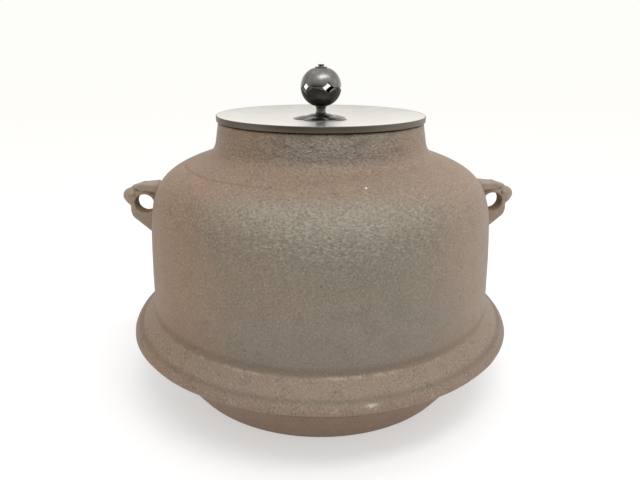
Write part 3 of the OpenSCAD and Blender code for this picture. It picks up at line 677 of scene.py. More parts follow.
kettle_inside.set(Base_Color=inside_colour,
                  Roughness=INSIDE_ROUGHNESS + (inside_sand - 0.5) * INSIDE_ROUGHNESS_SPREAD,
                  Normal=kettle_inside.bump(inside_sand, depth=0.6 * MM, strength=0.5))
print("iron inside: scale line at %.0f mm" % (WATER_Z / MM))

# %% [markdown]
# ## The casting
# The real kettle is one pour of iron between an outer mould and a core. Here the outer and inner lines
# are joined into one and spun as a closed shell, with points close together outside, where the
# unevenness shows, and further apart inside. The faces inside then take the second finish.

# %% Iron casting
OUTER_GAP, INNER_GAP = 1.4 * MM, 4.0 * MM
INSIDE_SLACK = WALL_T / 4
outer = np.vstack([outer_line[:1], close_up(outer_line[1:], OUTER_GAP)])
inner = close_up(inner_line, INNER_GAP)
casting = spin("kettle_casting", np.vstack([outer, inner]), shift=uneven)
dress(casting, "kettle", "kettle_iron", kettle_iron, "kettle_body")
casting.data.materials.append(kettle_inside.owner)
centres = np.array([face.center for face in casting.data.polygons])
inner_by_height = inner[np.argsort(inner[:, 1], kind="stable")]
reach_inside = np.interp(centres[:, 2], inner_by_height[:, 1], inner_by_height[:, 0]) + INSIDE_SLACK
inside_face = ((np.hypot(centres[:, 0], centres[:, 1]) < reach_inside)
               & (centres[:, 2] > FLOOR_T - INSIDE_SLACK) & (centres[:, 2] < LIP_Z - 2 * LIP_ROUND))
casting.data.polygons.foreach_set("material_index", inside_face.astype(np.int32))
print("casting: %d faces inside" % inside_face.sum())

# %% [markdown]
# ## Mask lugs
# Each lug is a small ogre mask seen from the side: a jutting brow, round eyes, a big nose and a jaw
# that runs down into the wall, with a hole through the cheeks for a lifting ring. Such soft forms could
# be pushed about by hand. Here each is a distance formula, and formulas melt into one another smoothly.
# The skin where the distance is nil is then drawn over a grid of small cubes.

# %% Distance formulas
def melt(a, b, width):
    """The nearer of two distances, with a soft join of this width."""
    share = np.clip(0.5 + 0.5 * (b - a) / width, 0, 1)
    return b * (1 - share) + a * share - width * share * (1 - share)


def carve(a, b, width):
    """What both distances hold, with a soft edge of this width."""
    return -melt(-a, -b, width)


def tapered(p, a, a_radius, b, b_radius):
    """Distance in the plane from two round ends and the straight lines that touch both."""
    a, b = np.array(a), np.array(b)
    length = np.linalg.norm(b - a)
    axis = (b - a) / length
    forward = (p - a) @ axis
    aside = np.abs((p - a) @ np.array([-axis[1], axis[0]]))
    lean = (a_radius - b_radius) / length
    upright = math.sqrt(1 - lean ** 2)
    slide = forward * upright - aside * lean
    flank = aside * upright + forward * lean - a_radius
    near_a, near_b = np.hypot(aside, forward) - a_radius, np.hypot(aside, forward - length) - b_radius
    return np.where(slide < 0, near_a, np.where(slide > upright * length, near_b, flank))


def slab(outline, across, half, edge):
    """An outline drawn out to both sides, with rounded edges."""
    out, side = outline + edge, np.abs(across) - half + edge
    return np.minimum(np.maximum(out, side), 0) + np.hypot(np.maximum(out, 0), np.maximum(side, 0)) - edge


def ball(p, centre, radius, stretch=(1, 1, 1)):
    """About the distance from a ball stretched along the axes."""
    return (np.linalg.norm((p - np.array(centre)) / np.array(stretch), axis=1) - radius) * min(stretch)


print("distance formulas ready")

# %% Skin of a formula
def skin_of(field, low, high, cube):
    """Points and faces where a field of distances is nil, one point in each cube that the skin crosses."""
    axes = [np.arange(a, b + cube, cube) for a, b in zip(low, high)]
    shape = tuple(len(a) for a in axes)
    grid = np.stack(np.meshgrid(*axes, indexing="ij"), -1).reshape(-1, 3)
    value = field(grid).reshape(shape)
    inside = value < 0
    cells = tuple(n - 1 for n in shape)
    total, count = np.zeros(cells + (3,)), np.zeros(cells)
    corner = [(i, j, k) for i in (0, 1) for j in (0, 1) for k in (0, 1)]
    for start in corner:
        for axis in range(3):
            if start[axis]:
                continue
            stop = tuple(start[n] + (n == axis) for n in range(3))
            view_a = tuple(slice(s, s + n) for s, n in zip(start, cells))
            view_b = tuple(slice(s, s + n) for s, n in zip(stop, cells))
            crossed = inside[view_a] != inside[view_b]
            share = np.where(crossed, value[view_a] / np.where(crossed, value[view_a] - value[view_b], 1), 0)
            spot = np.array(start, float) + share[..., None] * np.eye(3)[axis]
            total += np.where(crossed[..., None], spot, 0)
            count += crossed
    used = count > 0
    number = np.full(cells, -1)
    number[used] = np.arange(used.sum())
    points = (np.argwhere(used) + total[used] / count[used][:, None]) * cube + np.array(low)
    faces = []
    for axis in range(3):
        b, c = (axis + 1) % 3, (axis + 2) % 3
        step = np.eye(3, dtype=int)
        flips = np.argwhere(np.diff(inside, axis=axis))
        flips = flips[(flips[:, b] > 0) & (flips[:, c] > 0)
                      & (flips[:, b] < cells[b]) & (flips[:, c] < cells[c])]
        ring = [flips - step[b] - step[c], flips - step[c], flips, flips - step[b]]
        faces += np.stack([number[tuple(cell.T)] for cell in ring], 1).tolist()
    return points, faces


def settle(points, field, rounds=2, probe=0.05, least_slope=0.2):
    """Slides points onto the place where the field is nil."""
    for _ in range(rounds):
        value = field(points)
        slope = np.stack([(field(points + probe * axis) - value) / probe for axis in np.eye(3)], 1)
        points = points - (value / np.maximum((slope ** 2).sum(1), least_slope))[:, None] * slope
    return points


print("skin drawing ready")

# %% Sizes of the mask
# Places on the mask are in millimetres, outwards, across and upwards from the axis of its hole.
HOLE_R, HOLE_SLACK = 6.4, 0.15
RING_R = 9.6
CHIN, CHIN_R = (2.2, -4.8), 8.2
JAW_FOOT, JAW_FOOT_R = (-11.2, -24.0), 3.0
CHEEK_HALF, CHEEK_EDGE = 5.5, 2.4
CHEEK_PLAN, CHEEK_PLAN_R = -2.8, 14.0
BROW_ROOT, BROW_ROOT_R = (-8.2, 11.3), 2.5
BROW_MID, BROW_MID_R = (1.0, 11.2), 2.2
BROW_TIP, BROW_TIP_R = (7.5, 11.0), 1.0
BROW_BACK, BROW_BACK_HALF = (-9.2, 0.0), 8.6
BROW_WAIST, BROW_WAIST_HALF = (1.0, 0.0), 5.68
BROW_FRONT, BROW_FRONT_HALF = (6.4, 0.0), 2.4
BRIDGE_UP = 7.2
BRIDGE_ROOT, BRIDGE_ROOT_R = (-8.2, 0.0), 5.0
BRIDGE_TIP, BRIDGE_TIP_R = (7.0, 0.0), 3.2
NOSE_ROOT, NOSE_ROOT_R = (8.0, 0, 0.8), 3.7
NOSE, NOSE_R = (9.7, 0.0, 4.6), 5.4
NOSE_WING, NOSE_WING_R = (9.9, 3.5, 2.0), 2.2
NOSTRIL, NOSTRIL_R = (14.1, 2.0, 2.1), 1.1
EYE, EYE_R = (7.2, 4.9, 6.9), 1.8
CHIN_LIP, CHIN_LIP_R, CHIN_LIP_STRETCH = (7.7, 0, -4.2), 2.0, (1.0, 2.0, 0.6)
GRIN, GRIN_R, GRIN_STRETCH, GRIN_DROOP = (10.0, 0, -6.2), 1.4, (1.0, 2.9, 0.4), 0.06
CHEEK_MELT, BROW_MELT, CUT_EDGE, HOLE_EDGE_ROUND = 1.6, 1.0, 0.5, 1.0
ROOT_BLEND, ROOT_DEPTH = 2.4, 1.0
ROOT_REACH = 0.85 * ROOT_BLEND
print("mask: ring hole of radius %.1f mm" % HOLE_R)

# %% Form of the mask
hole_at = np.array([hole_x, 0, hole_z]) / MM
skin_order = np.argsort(skin_line[:, 1])
skin_heights, skin_radii = skin_line[skin_order, 1] / MM, skin_line[skin_order, 0] / MM


def mask_field(p):
    """Distance from the mask, with brow, eyes, nose and mouth."""
    out, across, up = p.T
    flat = np.stack([out, up], 1)
    plan = np.stack([out, across], 1)
    half_face = np.stack([out, np.abs(across), up], 1)
    side = melt(np.hypot(out, up) - RING_R, tapered(flat, CHIN, CHIN_R, JAW_FOOT, JAW_FOOT_R), CHEEK_MELT)
    round_front = np.hypot(np.maximum(out - CHEEK_PLAN, 0), across) - CHEEK_PLAN_R
    face = carve(slab(side, across, CHEEK_HALF, CHEEK_EDGE), round_front, CHEEK_MELT)
    brow_side = melt(tapered(flat, BROW_ROOT, BROW_ROOT_R, BROW_MID, BROW_MID_R),
                     tapered(flat, BROW_MID, BROW_MID_R, BROW_TIP, BROW_TIP_R), BROW_MELT)
    brow_plan = melt(tapered(plan, BROW_BACK, BROW_BACK_HALF, BROW_WAIST, BROW_WAIST_HALF),
                     tapered(plan, BROW_WAIST, BROW_WAIST_HALF, BROW_FRONT, BROW_FRONT_HALF), BROW_MELT)
    ridge = np.stack([out, np.hypot(across, up - BRIDGE_UP)], 1)
    parts_and_joins = (
        (tapered(ridge, BRIDGE_ROOT, BRIDGE_ROOT_R, BRIDGE_TIP, BRIDGE_TIP_R), 1.2),
        (carve(brow_side, brow_plan, BROW_MELT), 1.2),
        (ball(p, NOSE_ROOT, NOSE_ROOT_R), 2.0),
        (ball(p, NOSE, NOSE_R), 2.4),
        (ball(half_face, NOSE_WING, NOSE_WING_R), 1.4),
        (ball(half_face, EYE, EYE_R), 0.5),
        (ball(p, CHIN_LIP, CHIN_LIP_R, CHIN_LIP_STRETCH), 0.9))
    for part, join in parts_and_joins:
        face = melt(face, part, join)
    drooping = np.stack([out, across, up + GRIN_DROOP * across ** 2], 1)
    face = carve(face, -ball(drooping, GRIN, GRIN_R, GRIN_STRETCH), CUT_EDGE)
    face = carve(face, -ball(half_face, NOSTRIL, NOSTRIL_R), CUT_EDGE)
    return carve(face, HOLE_R - np.hypot(out, up), HOLE_EDGE_ROUND)


def lug_field(p):
    """The mask with a soft root, ending a little inside the wall."""
    mask = mask_field(p)
    reach = np.hypot(hole_at[0] + p[:, 0], p[:, 1])
    outside = reach - np.interp(hole_at[2] + p[:, 2], skin_heights, skin_radii)
    rooted = melt(mask, outside, ROOT_BLEND)
    kept = np.maximum(rooted, mask - ROOT_REACH)
    clear = np.maximum(kept, HOLE_R - HOLE_SLACK - np.hypot(p[:, 0], p[:, 2]))
    return np.maximum(clear, -(outside + ROOT_DEPTH))


print("mask: %.1f mm from the kettle's axis" % hole_at[0])

# %% Both lugs
LUG_BOX_LOW, LUG_BOX_HIGH, LUG_CUBE = (-16, -13.5, -32), (18, 13.5, 18), 0.5
LUG_SHARP_ANGLE = 70
lug_points, lug_faces = skin_of(lug_field, LUG_BOX_LOW, LUG_BOX_HIGH, LUG_CUBE)
lug_points = (settle(lug_points, lug_field) + hole_at) * MM
for hand, mirror in (("right", 1), ("left", -1)):
    lug = make_object("lug_%s_mask" % hand, lug_points * np.array([mirror, 1, 1]), lug_faces, LUG_SHARP_ANGLE)
    dress(lug, "kettle", "kettle_iron", kettle_iron, "lug_%s" % hand)

# %% [markdown]
# ## Sound plates
# Scraps of iron are stuck to the kettle's floor with lacquer. They buzz as the water warms and give the
# kettle its voice. They show only when the lid is off, but the piece is kept whole. Plain cylinders would
# do for size. Their rims are pushed a little out of round, as hand-cut scraps are.

# %% Finishes of the sound plates
PLATE_DARK, PLATE_RUST, PLATE_BAND = (0.105, 0.09, 0.08, 1), (0.20, 0.12, 0.075, 1), (0.4, 0.7)
PLATE_ROUGHNESS, PLATE_ROUGHNESS_SPREAD = 0.72, 0.2
LACQUER_BLACK, LACQUER_BROWN = (0.014, 0.009, 0.008, 1), (0.03, 0.016, 0.012, 1)
LACQUER_ROUGHNESS, LACQUER_ROUGHNESS_SPREAD = 0.22, 0.15
plate_iron = Finish("plate_iron")
plate_mottle = plate_iron.grain(size=6 * MM, detail=4.0)
plate_sand = plate_iron.grain(size=1.0 * MM, detail=3.0)
plate_iron.set(Base_Color=plate_iron.blend(plate_mottle.rise(*PLATE_BAND), PLATE_DARK, PLATE_RUST),
               Roughness=PLATE_ROUGHNESS + (plate_sand - 0.5) * PLATE_ROUGHNESS_SPREAD,
               Normal=plate_iron.bump(plate_sand, depth=0.3 * MM, strength=0.5))
lacquer = Finish("lacquer")
lacquer_wave = lacquer.grain(size=5 * MM, detail=2.0)
lacquer.set(Base_Color=lacquer.blend(lacquer_wave, LACQUER_BLACK, LACQUER_BROWN),
            Roughness=LACQUER_ROUGHNESS + lacquer_wave * LACQUER_ROUGHNESS_SPREAD,
            Normal=lacquer.bump(lacquer_wave, depth=0.4 * MM, strength=0.4))
print("finishes: plate iron and lacquer")

# %% Sound plates and lacquer
PLATE_COUNT = 5
DISC_EDGE, DISC_GAP, DISC_EDGE_STEPS = 0.5 * MM, 2 * MM, 4
BED_TURNS, BED_WOBBLE, BED_SEED = 48, 0.05, 0.5
PLATE_TURNS, PLATE_WOBBLE, PLATE_SEED = 64, 0.10, 7.3


def disc(name, node, turns, wobble, seed):
    """Low rounded disc in a CAD node's box, its rim a little out of round."""
    low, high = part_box(node)
    middle = (low + high) / 2
    flat_r = (high.x - low.x) / 2 - DISC_EDGE
    line = np.vstack([[[0, low.z]], arc((flat_r, low.z + DISC_EDGE), DISC_EDGE, -90, 0, DISC_EDGE_STEPS),
                      arc((flat_r, high.z - DISC_EDGE), DISC_EDGE, 0, 90, DISC_EDGE_STEPS), [[0, high.z]]])

    def shift(points):
        turn = np.arctan2(points[:, 1], points[:, 0])
        wave = np.array([noise.noise(Vector((math.cos(a), math.sin(a), seed))) for a in turn])
        points[:, :2] *= (1 - wobble * (0.5 + 0.5 * wave))[:, None]
        return points + np.array([middle.x, middle.y, 0])

    return spin(name, close_up(line, DISC_GAP), turns, shift=shift)


for number in range(1, PLATE_COUNT + 1):
    bed_node, plate_node = "plate_lacquer_%d" % number, "sound_plate_%d" % number
    bed = disc("lacquer_bed_%d" % number, bed_node, BED_TURNS, BED_WOBBLE, number + BED_SEED)
    plate = disc("singing_plate_%d" % number, plate_node, PLATE_TURNS, PLATE_WOBBLE, number + PLATE_SEED)
    dress(bed, "kettle", "lacquer", lacquer, bed_node)
    dress(plate, "kettle", "plate_iron", plate_iron, plate_node)

# %% [markdown]
# ## The lid
# A cast bronze disc, scooped on a lathe and rubbed to a satin grey. A grey paint would look dead, because
# the real lid mirrors the white room at a low angle. So most of its looks come from a true metal shader
# with the right roughness, some cloudy patina and very fine rings from the lathe. Its rim is left darker.

# %% Satin bronze of the lid
lid_low, lid_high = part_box("lid_plate")
LID_R = lid_high.x
LATHE_STEP, LATHE_DEPTH = 0.9 * MM, 0.4
LID_DULL, LID_BRIGHT, LID_CLOUD_BAND = (0.640, 0.614, 0.556, 1), (0.750, 0.736, 0.688, 1), (0.30, 0.74)
SPECK_BAND, SPECK_SHARE, SPECK_TINT = (0.58, 0.80), 0.35, (0.72, 0.68, 0.62, 1)
RIM_BAND, RIM_LEFT_BAND = (LID_R - 0.8 * MM, LID_R - 0.2 * MM), (38 * MM, 66 * MM)
RIM_GREY, RIM_BROWN = (0.152, 0.133, 0.112, 1), (0.085, 0.062, 0.040, 1)
LID_ROUGHNESS, LID_ROUGHNESS_SPREAD, RIM_ROUGHNESS = 0.31, 0.14, 0.10
lid_bronze = Finish("lid_bronze")
lid_cloud = lid_bronze.grain(size=20 * MM, detail=5.0, roughness=0.6)
lid_speck = lid_bronze.grain(size=2.0 * MM, detail=3.0, roughness=0.6)
lathe_turn = lid_bronze.radius * (math.tau / LATHE_STEP)
lathe = lathe_turn.maths("SINE", lathe_turn, 0)
rim = lid_bronze.radius.rise(*RIM_BAND)
lid_colour = lid_bronze.blend(lid_cloud.rise(*LID_CLOUD_BAND), LID_DULL, LID_BRIGHT)
lid_colour = lid_bronze.tint(lid_speck.rise(*SPECK_BAND) * SPECK_SHARE, lid_colour, SPECK_TINT)
rim_colour = lid_bronze.blend((0 - lid_bronze.x).rise(*RIM_LEFT_BAND), RIM_GREY, RIM_BROWN)
lid_colour = lid_bronze.blend(rim, lid_colour, rim_colour)
lid_bronze.set(Base_Color=lid_colour, Metallic=1.0,
               Roughness=LID_ROUGHNESS + (lid_cloud - 0.5) * LID_ROUGHNESS_SPREAD + rim * RIM_ROUGHNESS,
               Normal=lid_bronze.bump(lathe * LATHE_DEPTH + lid_speck, depth=0.02 * MM, strength=0.3))
print("lid bronze: lathe rings %.1f mm apart" % (LATHE_STEP / MM))

# %% Lid
LID_TOP, RING_Z = lid_high.z, lid_low.z
LID_GAP, LID_EDGE = 0.8 * MM, 0.45 * MM
LID_DISH, LID_T = 3.2 * MM, 2.6 * MM
LID_SHARP_ANGLE = 30
RING_IN, RING_OUT, RING_ROUND = 58.5 * MM, 61.3 * MM, 0.5 * MM
RING_FILLET, RING_STEPS = 1 * MM, 4
REST_END, BEVEL_START, BEVEL_RISE = 5 * MM, 4 * MM, 0.5 * MM
TOP_STEPS, UNDER_STEPS = 60, 30
BORE_R = 1.25 * MM
SEAT_R, SEAT_MARGIN = 18.4 * MM, 1.5 * MM
scoop_flat = SEAT_R + SEAT_MARGIN
scoop_run = LID_R - scoop_flat
scoop_r = (scoop_run ** 2 + LID_DISH ** 2) / (2 * LID_DISH)


def scoop(radius):
    """Height of the scooped top at a radius."""
    run = np.maximum(np.asarray(radius) - scoop_flat, 0)
    return LID_TOP - LID_DISH + scoop_r - np.sqrt(scoop_r ** 2 - run ** 2)


top_r = np.linspace(LID_R - LID_EDGE, BORE_R, TOP_STEPS)
under_r = np.linspace(BORE_R, RING_IN - RING_FILLET, UNDER_STEPS)
lid_line = np.vstack([
    np.stack([under_r, scoop(under_r) - LID_T], 1),
    [[RING_IN, scoop(RING_IN) - LID_T - RING_FILLET]],
    arc((RING_IN + RING_ROUND, RING_Z + RING_ROUND), RING_ROUND, 180, 270, RING_STEPS),
    arc((RING_OUT - RING_ROUND, RING_Z + RING_ROUND), RING_ROUND, 270, 360, RING_STEPS),
    [[RING_OUT, LIP_Z], [LID_R - REST_END, LIP_Z], [LID_R - BEVEL_START, LIP_Z + BEVEL_RISE],
     [LID_R - LID_EDGE, LIP_Z + LID_GAP]],
    arc((LID_R - LID_EDGE, LIP_Z + LID_GAP + LID_EDGE), LID_EDGE, -60, 0, steps=4),
    arc((LID_R - LID_EDGE, LID_TOP - LID_EDGE), LID_EDGE, 0, 80, steps=5),
    np.stack([top_r, scoop(top_r)], 1)])
lid = spin("lid_disc", lid_line, loop=True, sharp_angle=LID_SHARP_ANGLE)
dress(lid, "lid", "lid_bronze", lid_bronze, "lid_plate")

# %% [markdown]
# ## The knob's bronze
# The knob is darker than the lid and nearly black where hands don't reach: the ball's lower petals, up to
# the curved edge where the upper ones begin. Two finishes could be used, but one metal with a mask that
# follows the petals' edge needs no extra seam. The seat and the stem are toned by their heights.

# %% Dark bronze
BALL_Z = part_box("knob_upper_petals")[0].z
SEAT_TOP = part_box("knob_seat")[1].z
PETALS = 5
PART = math.tau / PETALS
OPENING_TURN = math.radians(-71)
OPENING_W, OPENING_H = 8.4 * MM, 7.0 * MM
PETAL_BEND = 2.2
KNOB_DARK, KNOB_GREY, KNOB_BAND = (0.165, 0.16, 0.15, 1), (0.225, 0.22, 0.21, 1), (0.35, 0.70)
PETAL_START, PETAL_END = (BALL_Z - 12.3 * MM, BALL_Z - 11.9 * MM), (-0.3 * MM, 0.0)
SEAT_END, STEM_END = (SEAT_TOP - 0.2 * MM, SEAT_TOP + 0.2 * MM), (BALL_Z - 12.6 * MM, BALL_Z - 12.3 * MM)
PETAL_TINT, STEM_TINT, SEAT_TINT = (0.26, 0.25, 0.24, 1), (0.84, 0.80, 0.77, 1), (0.74, 0.71, 0.69, 1)
KNOB_ROUGHNESS, PETAL_ROUGHNESS, KNOB_ROUGHNESS_SPREAD = 0.30, 0.14, 0.16
knob_bronze = Finish("knob_bronze")
knob_cloud = knob_bronze.grain(size=4 * MM, detail=4.0, roughness=0.6)
knob_speck = knob_bronze.grain(size=0.8 * MM, detail=3.0)
knob_tone = knob_bronze.blend(knob_cloud.rise(*KNOB_BAND), KNOB_DARK, KNOB_GREY)
around = knob_bronze.y.maths("ARCTAN2", knob_bronze.y, knob_bronze.x)
in_part = around.maths("MODULO", (around - OPENING_TURN) / PART + PETALS + 0.5, 1.0) - 0.5
to_opening = 1 - in_part.at_least(0 - in_part) * 2
petal_top = BALL_Z - (to_opening ** PETAL_BEND) * (OPENING_H / 2)
lower_half = knob_bronze.z.rise(*PETAL_START) * (1 - (knob_bronze.z - petal_top).rise(*PETAL_END))
on_seat = 1 - knob_bronze.z.rise(*SEAT_END)
on_stem = (1 - on_seat) * (1 - knob_bronze.z.rise(*STEM_END))
for place, place_tint in ((lower_half, PETAL_TINT), (on_stem, STEM_TINT), (on_seat, SEAT_TINT)):
    knob_tone = knob_bronze.tint(place, knob_tone, place_tint)
petal_roughness = lower_half * PETAL_ROUGHNESS
knob_bronze.set(Base_Color=knob_tone, Metallic=1.0,
                Roughness=KNOB_ROUGHNESS + petal_roughness + (knob_cloud - 0.5) * KNOB_ROUGHNESS_SPREAD,
                Normal=knob_bronze.bump(knob_speck + knob_cloud, depth=0.03 * MM, strength=0.3))
print("knob bronze: %d petals, ball's middle at %.1f mm" % (PETALS, BALL_Z / MM))

# %% [markdown]
# ## The openwork ball
# The finest work on the kettle is a hollow ball of five petals below and five above, which leave
# diamond-shaped windows between them. Windows could be cut out of a sphere with a boolean. Here the
# ball is a grid wrapped on a sphere: each column of points starts at the edge of its window, so nothing
# has to be cut and the edges stay crisp and rounded. The lower cup steps in behind the upper petals.

# %% Windows of the ball
lower_low, upper_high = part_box("knob_lower_petals")[0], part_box("knob_upper_petals")[1]
BALL_R, BALL_OFF, BALL_T = 12.6 * MM, 0.85 * MM, 1.3 * MM
OPENING_BEND = 0.42
EDGE_ROUND = 0.4 * MM
CREASE_DEPTH, CREASE_WIDTH, CREASE_RISE = 0.2 * MM, 0.6 * MM, math.radians(9)
STEP_DEPTH, STEP_SOFT = 0.45 * MM, math.radians(1.2)
SIDE_STEPS, FLAT_STEPS, RISE_STEPS = 14, 14, 40
ROW_CROWDING = 1.7
WALL_ANGLES = np.radians([30, 60, 90])


def window_columns():
    """Azimuths round the ball and the angle above its middle at which each column starts."""
    tip, corner = np.array([0, OPENING_H / 2]), np.array([OPENING_W / 2, 0])
    side = curve([tip, OPENING_BEND * (tip + corner), corner], SIDE_STEPS)
    rise = np.arcsin(side[:, 1] / BALL_R)
    turn = np.arcsin(side[:, 0] / (BALL_OFF + BALL_R * np.cos(rise)))
    flat = np.linspace(turn[-1], PART - turn[-1], FLAT_STEPS + 1)[1:-1]
    turns = np.concatenate([turn, flat, PART - turn[::-1][:-1]])
    rises = np.concatenate([rise, np.zeros(len(flat)), rise[::-1][:-1]])
    return np.concatenate([turns + PART * k for k in range(PETALS)]), np.tile(rises, PETALS)


print("windows: %.1f mm wide, %.1f mm high" % (OPENING_W / MM, OPENING_H / MM))

# %% Petal cups
def petal_ball(flat_height, stepped):
    """Cup of five petals with half windows along its rim and a flat end with a bore."""
    turns, rises = window_columns()
    edge = EDGE_ROUND / BALL_R
    top = math.asin(flat_height / BALL_R)
    inner_top = math.asin((flat_height - BALL_T / 2) / (BALL_R - BALL_T / 2))
    from_window = np.abs((turns / PART + 0.5) % 1 - 0.5) * PART
    crease = np.exp(-(from_window * BALL_R / CREASE_WIDTH) ** 2)
    petal_edge = rises.max() * (1 - from_window / (PART / 2)) ** PETAL_BEND
    low = rises + edge
    rows = []
    for share in np.linspace(1, 0, RISE_STEPS + 1) ** ROW_CROWDING:
        rise = low + (top - low) * share
        reach = BALL_R - CREASE_DEPTH * crease * np.exp(-(rise - low) / CREASE_RISE)
        if stepped:
            reach = reach - STEP_DEPTH * np.clip((petal_edge + edge - rise) / STEP_SOFT, 0, 1)
        rows.append((reach, rise))
    base = rows[-1][0]
    inside = base - BALL_T
    for angle in WALL_ANGLES:
        rows.append((base - EDGE_ROUND * (1 - math.cos(angle)), low - edge * math.sin(angle)))
    for angle in WALL_ANGLES[::-1]:
        rows.append((inside + EDGE_ROUND * (1 - math.cos(angle)), low - edge * math.sin(angle)))
    for share in np.linspace(0, 1, RISE_STEPS // 2 + 1):
        rows.append((inside, low + (np.maximum(inner_top, low) - low) * share))
    turned = turns + OPENING_TURN
    points = [np.stack([(BALL_OFF + reach * np.cos(rise)) * np.cos(turned),
                        (BALL_OFF + reach * np.cos(rise)) * np.sin(turned),
                        reach * np.sin(rise)], 1) for reach, rise in rows]
    hole = np.stack([BORE_R * np.cos(turned), BORE_R * np.sin(turned), 0 * turned], 1)
    points = [hole + (0, 0, flat_height), *points, hole + (0, 0, points[-1][0, 2])]
    return np.vstack(points), ring_faces(len(points), len(turns), len(points))


lower_points, lower_faces = petal_ball(BALL_Z - lower_low.z, stepped=True)
upper_points, upper_faces = petal_ball(upper_high.z - BALL_Z, stepped=False)
lower_cup = make_object("knob_ball_lower", lower_points * (1, 1, -1) + (0, 0, BALL_Z), lower_faces)
upper_cup = make_object("knob_ball_upper", upper_points + (0, 0, BALL_Z), upper_faces)
dress(lower_cup, "lid", "knob_bronze", knob_bronze, "knob_lower_petals")
dress(upper_cup, "lid", "knob_bronze", knob_bronze, "knob_upper_petals")

# %% [markdown]
# ## The flower seat
# The stem stands on a low flower of five round petals that spreads its load on the thin lid. It could be
# five squashed balls and a boolean. As a height over the lid it is one clean sheet: five low domes melt
# into a raised middle, by the same formula that joined the parts of the mask.

# %% Form of the seat
seat_low, seat_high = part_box("knob_seat")
stem_low, stem_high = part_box("knob_stem")
STEM_R = stem_high.x
SEAT_PETAL_R, SEAT_PETAL_H = 0.52 * SEAT_R, 2.0 * MM
SEAT_EDGE_H, SEAT_EDGE_ROUND = 0.4 * MM, 0.35 * MM
SEAT_MIDDLE_R, SEAT_MIDDLE_START = 0.6 * SEAT_R, 0.5 * SEAT_PETAL_H
SEAT_PETAL_MELT, SEAT_MIDDLE_MELT = 0.25 * MM, 0.35 * MM
SEAT_TURNS, SEAT_STEPS, SEAT_CROWDING = 240, 40, 1.5
seat_h = seat_high.z - seat_low.z


def seat_edge(turn):
    """Radius of the flower's edge in a direction."""
    off = (turn - OPENING_TURN) % PART - PART / 2
    away = SEAT_R - SEAT_PETAL_R
    return away * np.cos(off) + np.sqrt(SEAT_PETAL_R ** 2 - (away * np.sin(off)) ** 2)


def seat_height(x, y, to_edge):
    """Height of the seat over the lid: five low domes melted into a raised middle, with a round edge."""
    dome_r = (SEAT_PETAL_R ** 2 + SEAT_PETAL_H ** 2) / (2 * SEAT_PETAL_H)
    height = np.full(np.shape(x), SEAT_EDGE_H)
    for k in range(PETALS):
        turn = OPENING_TURN + (k + 0.5) * PART
        away = np.hypot(x - (SEAT_R - SEAT_PETAL_R) * math.cos(turn),
                        y - (SEAT_R - SEAT_PETAL_R) * math.sin(turn))
        cap = np.sqrt(np.maximum(dome_r ** 2 - away ** 2, 0)) - dome_r + SEAT_PETAL_H
        height = -melt(-height, -cap, SEAT_PETAL_MELT)
    share = np.clip((SEAT_MIDDLE_R - np.hypot(x, y)) / (SEAT_MIDDLE_R - STEM_R), 0, 1)
    middle = SEAT_MIDDLE_START + (seat_h - SEAT_MIDDLE_START) * np.sin(share * math.pi / 2)
    middle = np.where(share > 0, middle, 0)
    height = np.minimum(-melt(-height, -middle, SEAT_MIDDLE_MELT), seat_h)
    near = np.clip(1 - to_edge / SEAT_EDGE_ROUND, 0, 1)
    return height - SEAT_EDGE_ROUND * (1 - np.sqrt(1 - near ** 2))


print("seat: %.1f mm high" % (seat_h / MM))

# %% Flower seat
seat_turn = np.arange(SEAT_TURNS) * 2 * math.pi / SEAT_TURNS
seat_rows = []
for share in 1 - (1 - np.linspace(0, 1, SEAT_STEPS + 1)) ** SEAT_CROWDING:
    reach = BORE_R + (seat_edge(seat_turn) - BORE_R) * share
    x, y = reach * np.cos(seat_turn), reach * np.sin(seat_turn)
    seat_rows.append(np.stack([x, y, seat_height(x, y, seat_edge(seat_turn) - reach) + seat_low.z], 1))
edge_row = seat_rows[-1] * (1, 1, 0) + (0, 0, seat_low.z)
hole_row = seat_rows[0] * (1, 1, 0) + (0, 0, seat_low.z)
seat_rows += [edge_row, hole_row]
seat_faces = ring_faces(len(seat_rows), SEAT_TURNS, len(seat_rows))
seat = make_object("knob_flower_seat", np.vstack(seat_rows), seat_faces)
dress(seat, "lid", "knob_bronze", knob_bronze, "knob_seat")

# %% [markdown]
# ## Stem, finial and rivet
# A waisted stem lifts the ball, a small disc closes its crown, and one rivet runs through all of them and
# is hammered over a washer under the lid. All four are turned work, so each is a line that is spun. The
# small roundings matter most: they catch the light that makes metal look like metal.

# %% Stem
WAIST_R, WAIST_SHARE = 3.2 * MM, 0.52
STEM_FOOT_ROUND, STEM_FOOT_IN = 0.35 * MM, 0.2 * MM
STEM_NECK_IN, STEM_NECK_UP, STEM_TOP_DOWN = 0.3 * MM, 0.75 * MM, 0.1 * MM
STEM_STEPS, STEM_TURNS = 14, 96
stem_h = stem_high.z - stem_low.z
stem_line = np.vstack([
    [[BORE_R, stem_low.z], [STEM_R - STEM_FOOT_IN, stem_low.z]],
    arc((STEM_R - STEM_FOOT_ROUND, stem_low.z + STEM_FOOT_ROUND), STEM_FOOT_ROUND, -60, 60, steps=5),
    curve([(STEM_R - STEM_NECK_IN, stem_low.z + STEM_NECK_UP),
           (2 * WAIST_R - STEM_R, stem_low.z + WAIST_SHARE * stem_h),
           (STEM_R, stem_high.z - STEM_TOP_DOWN)], STEM_STEPS),
    [[STEM_R, stem_high.z], [BORE_R, stem_high.z]]])
stem = spin("knob_waisted_stem", stem_line, STEM_TURNS, loop=True)
dress(stem, "lid", "knob_bronze", knob_bronze, "knob_stem")

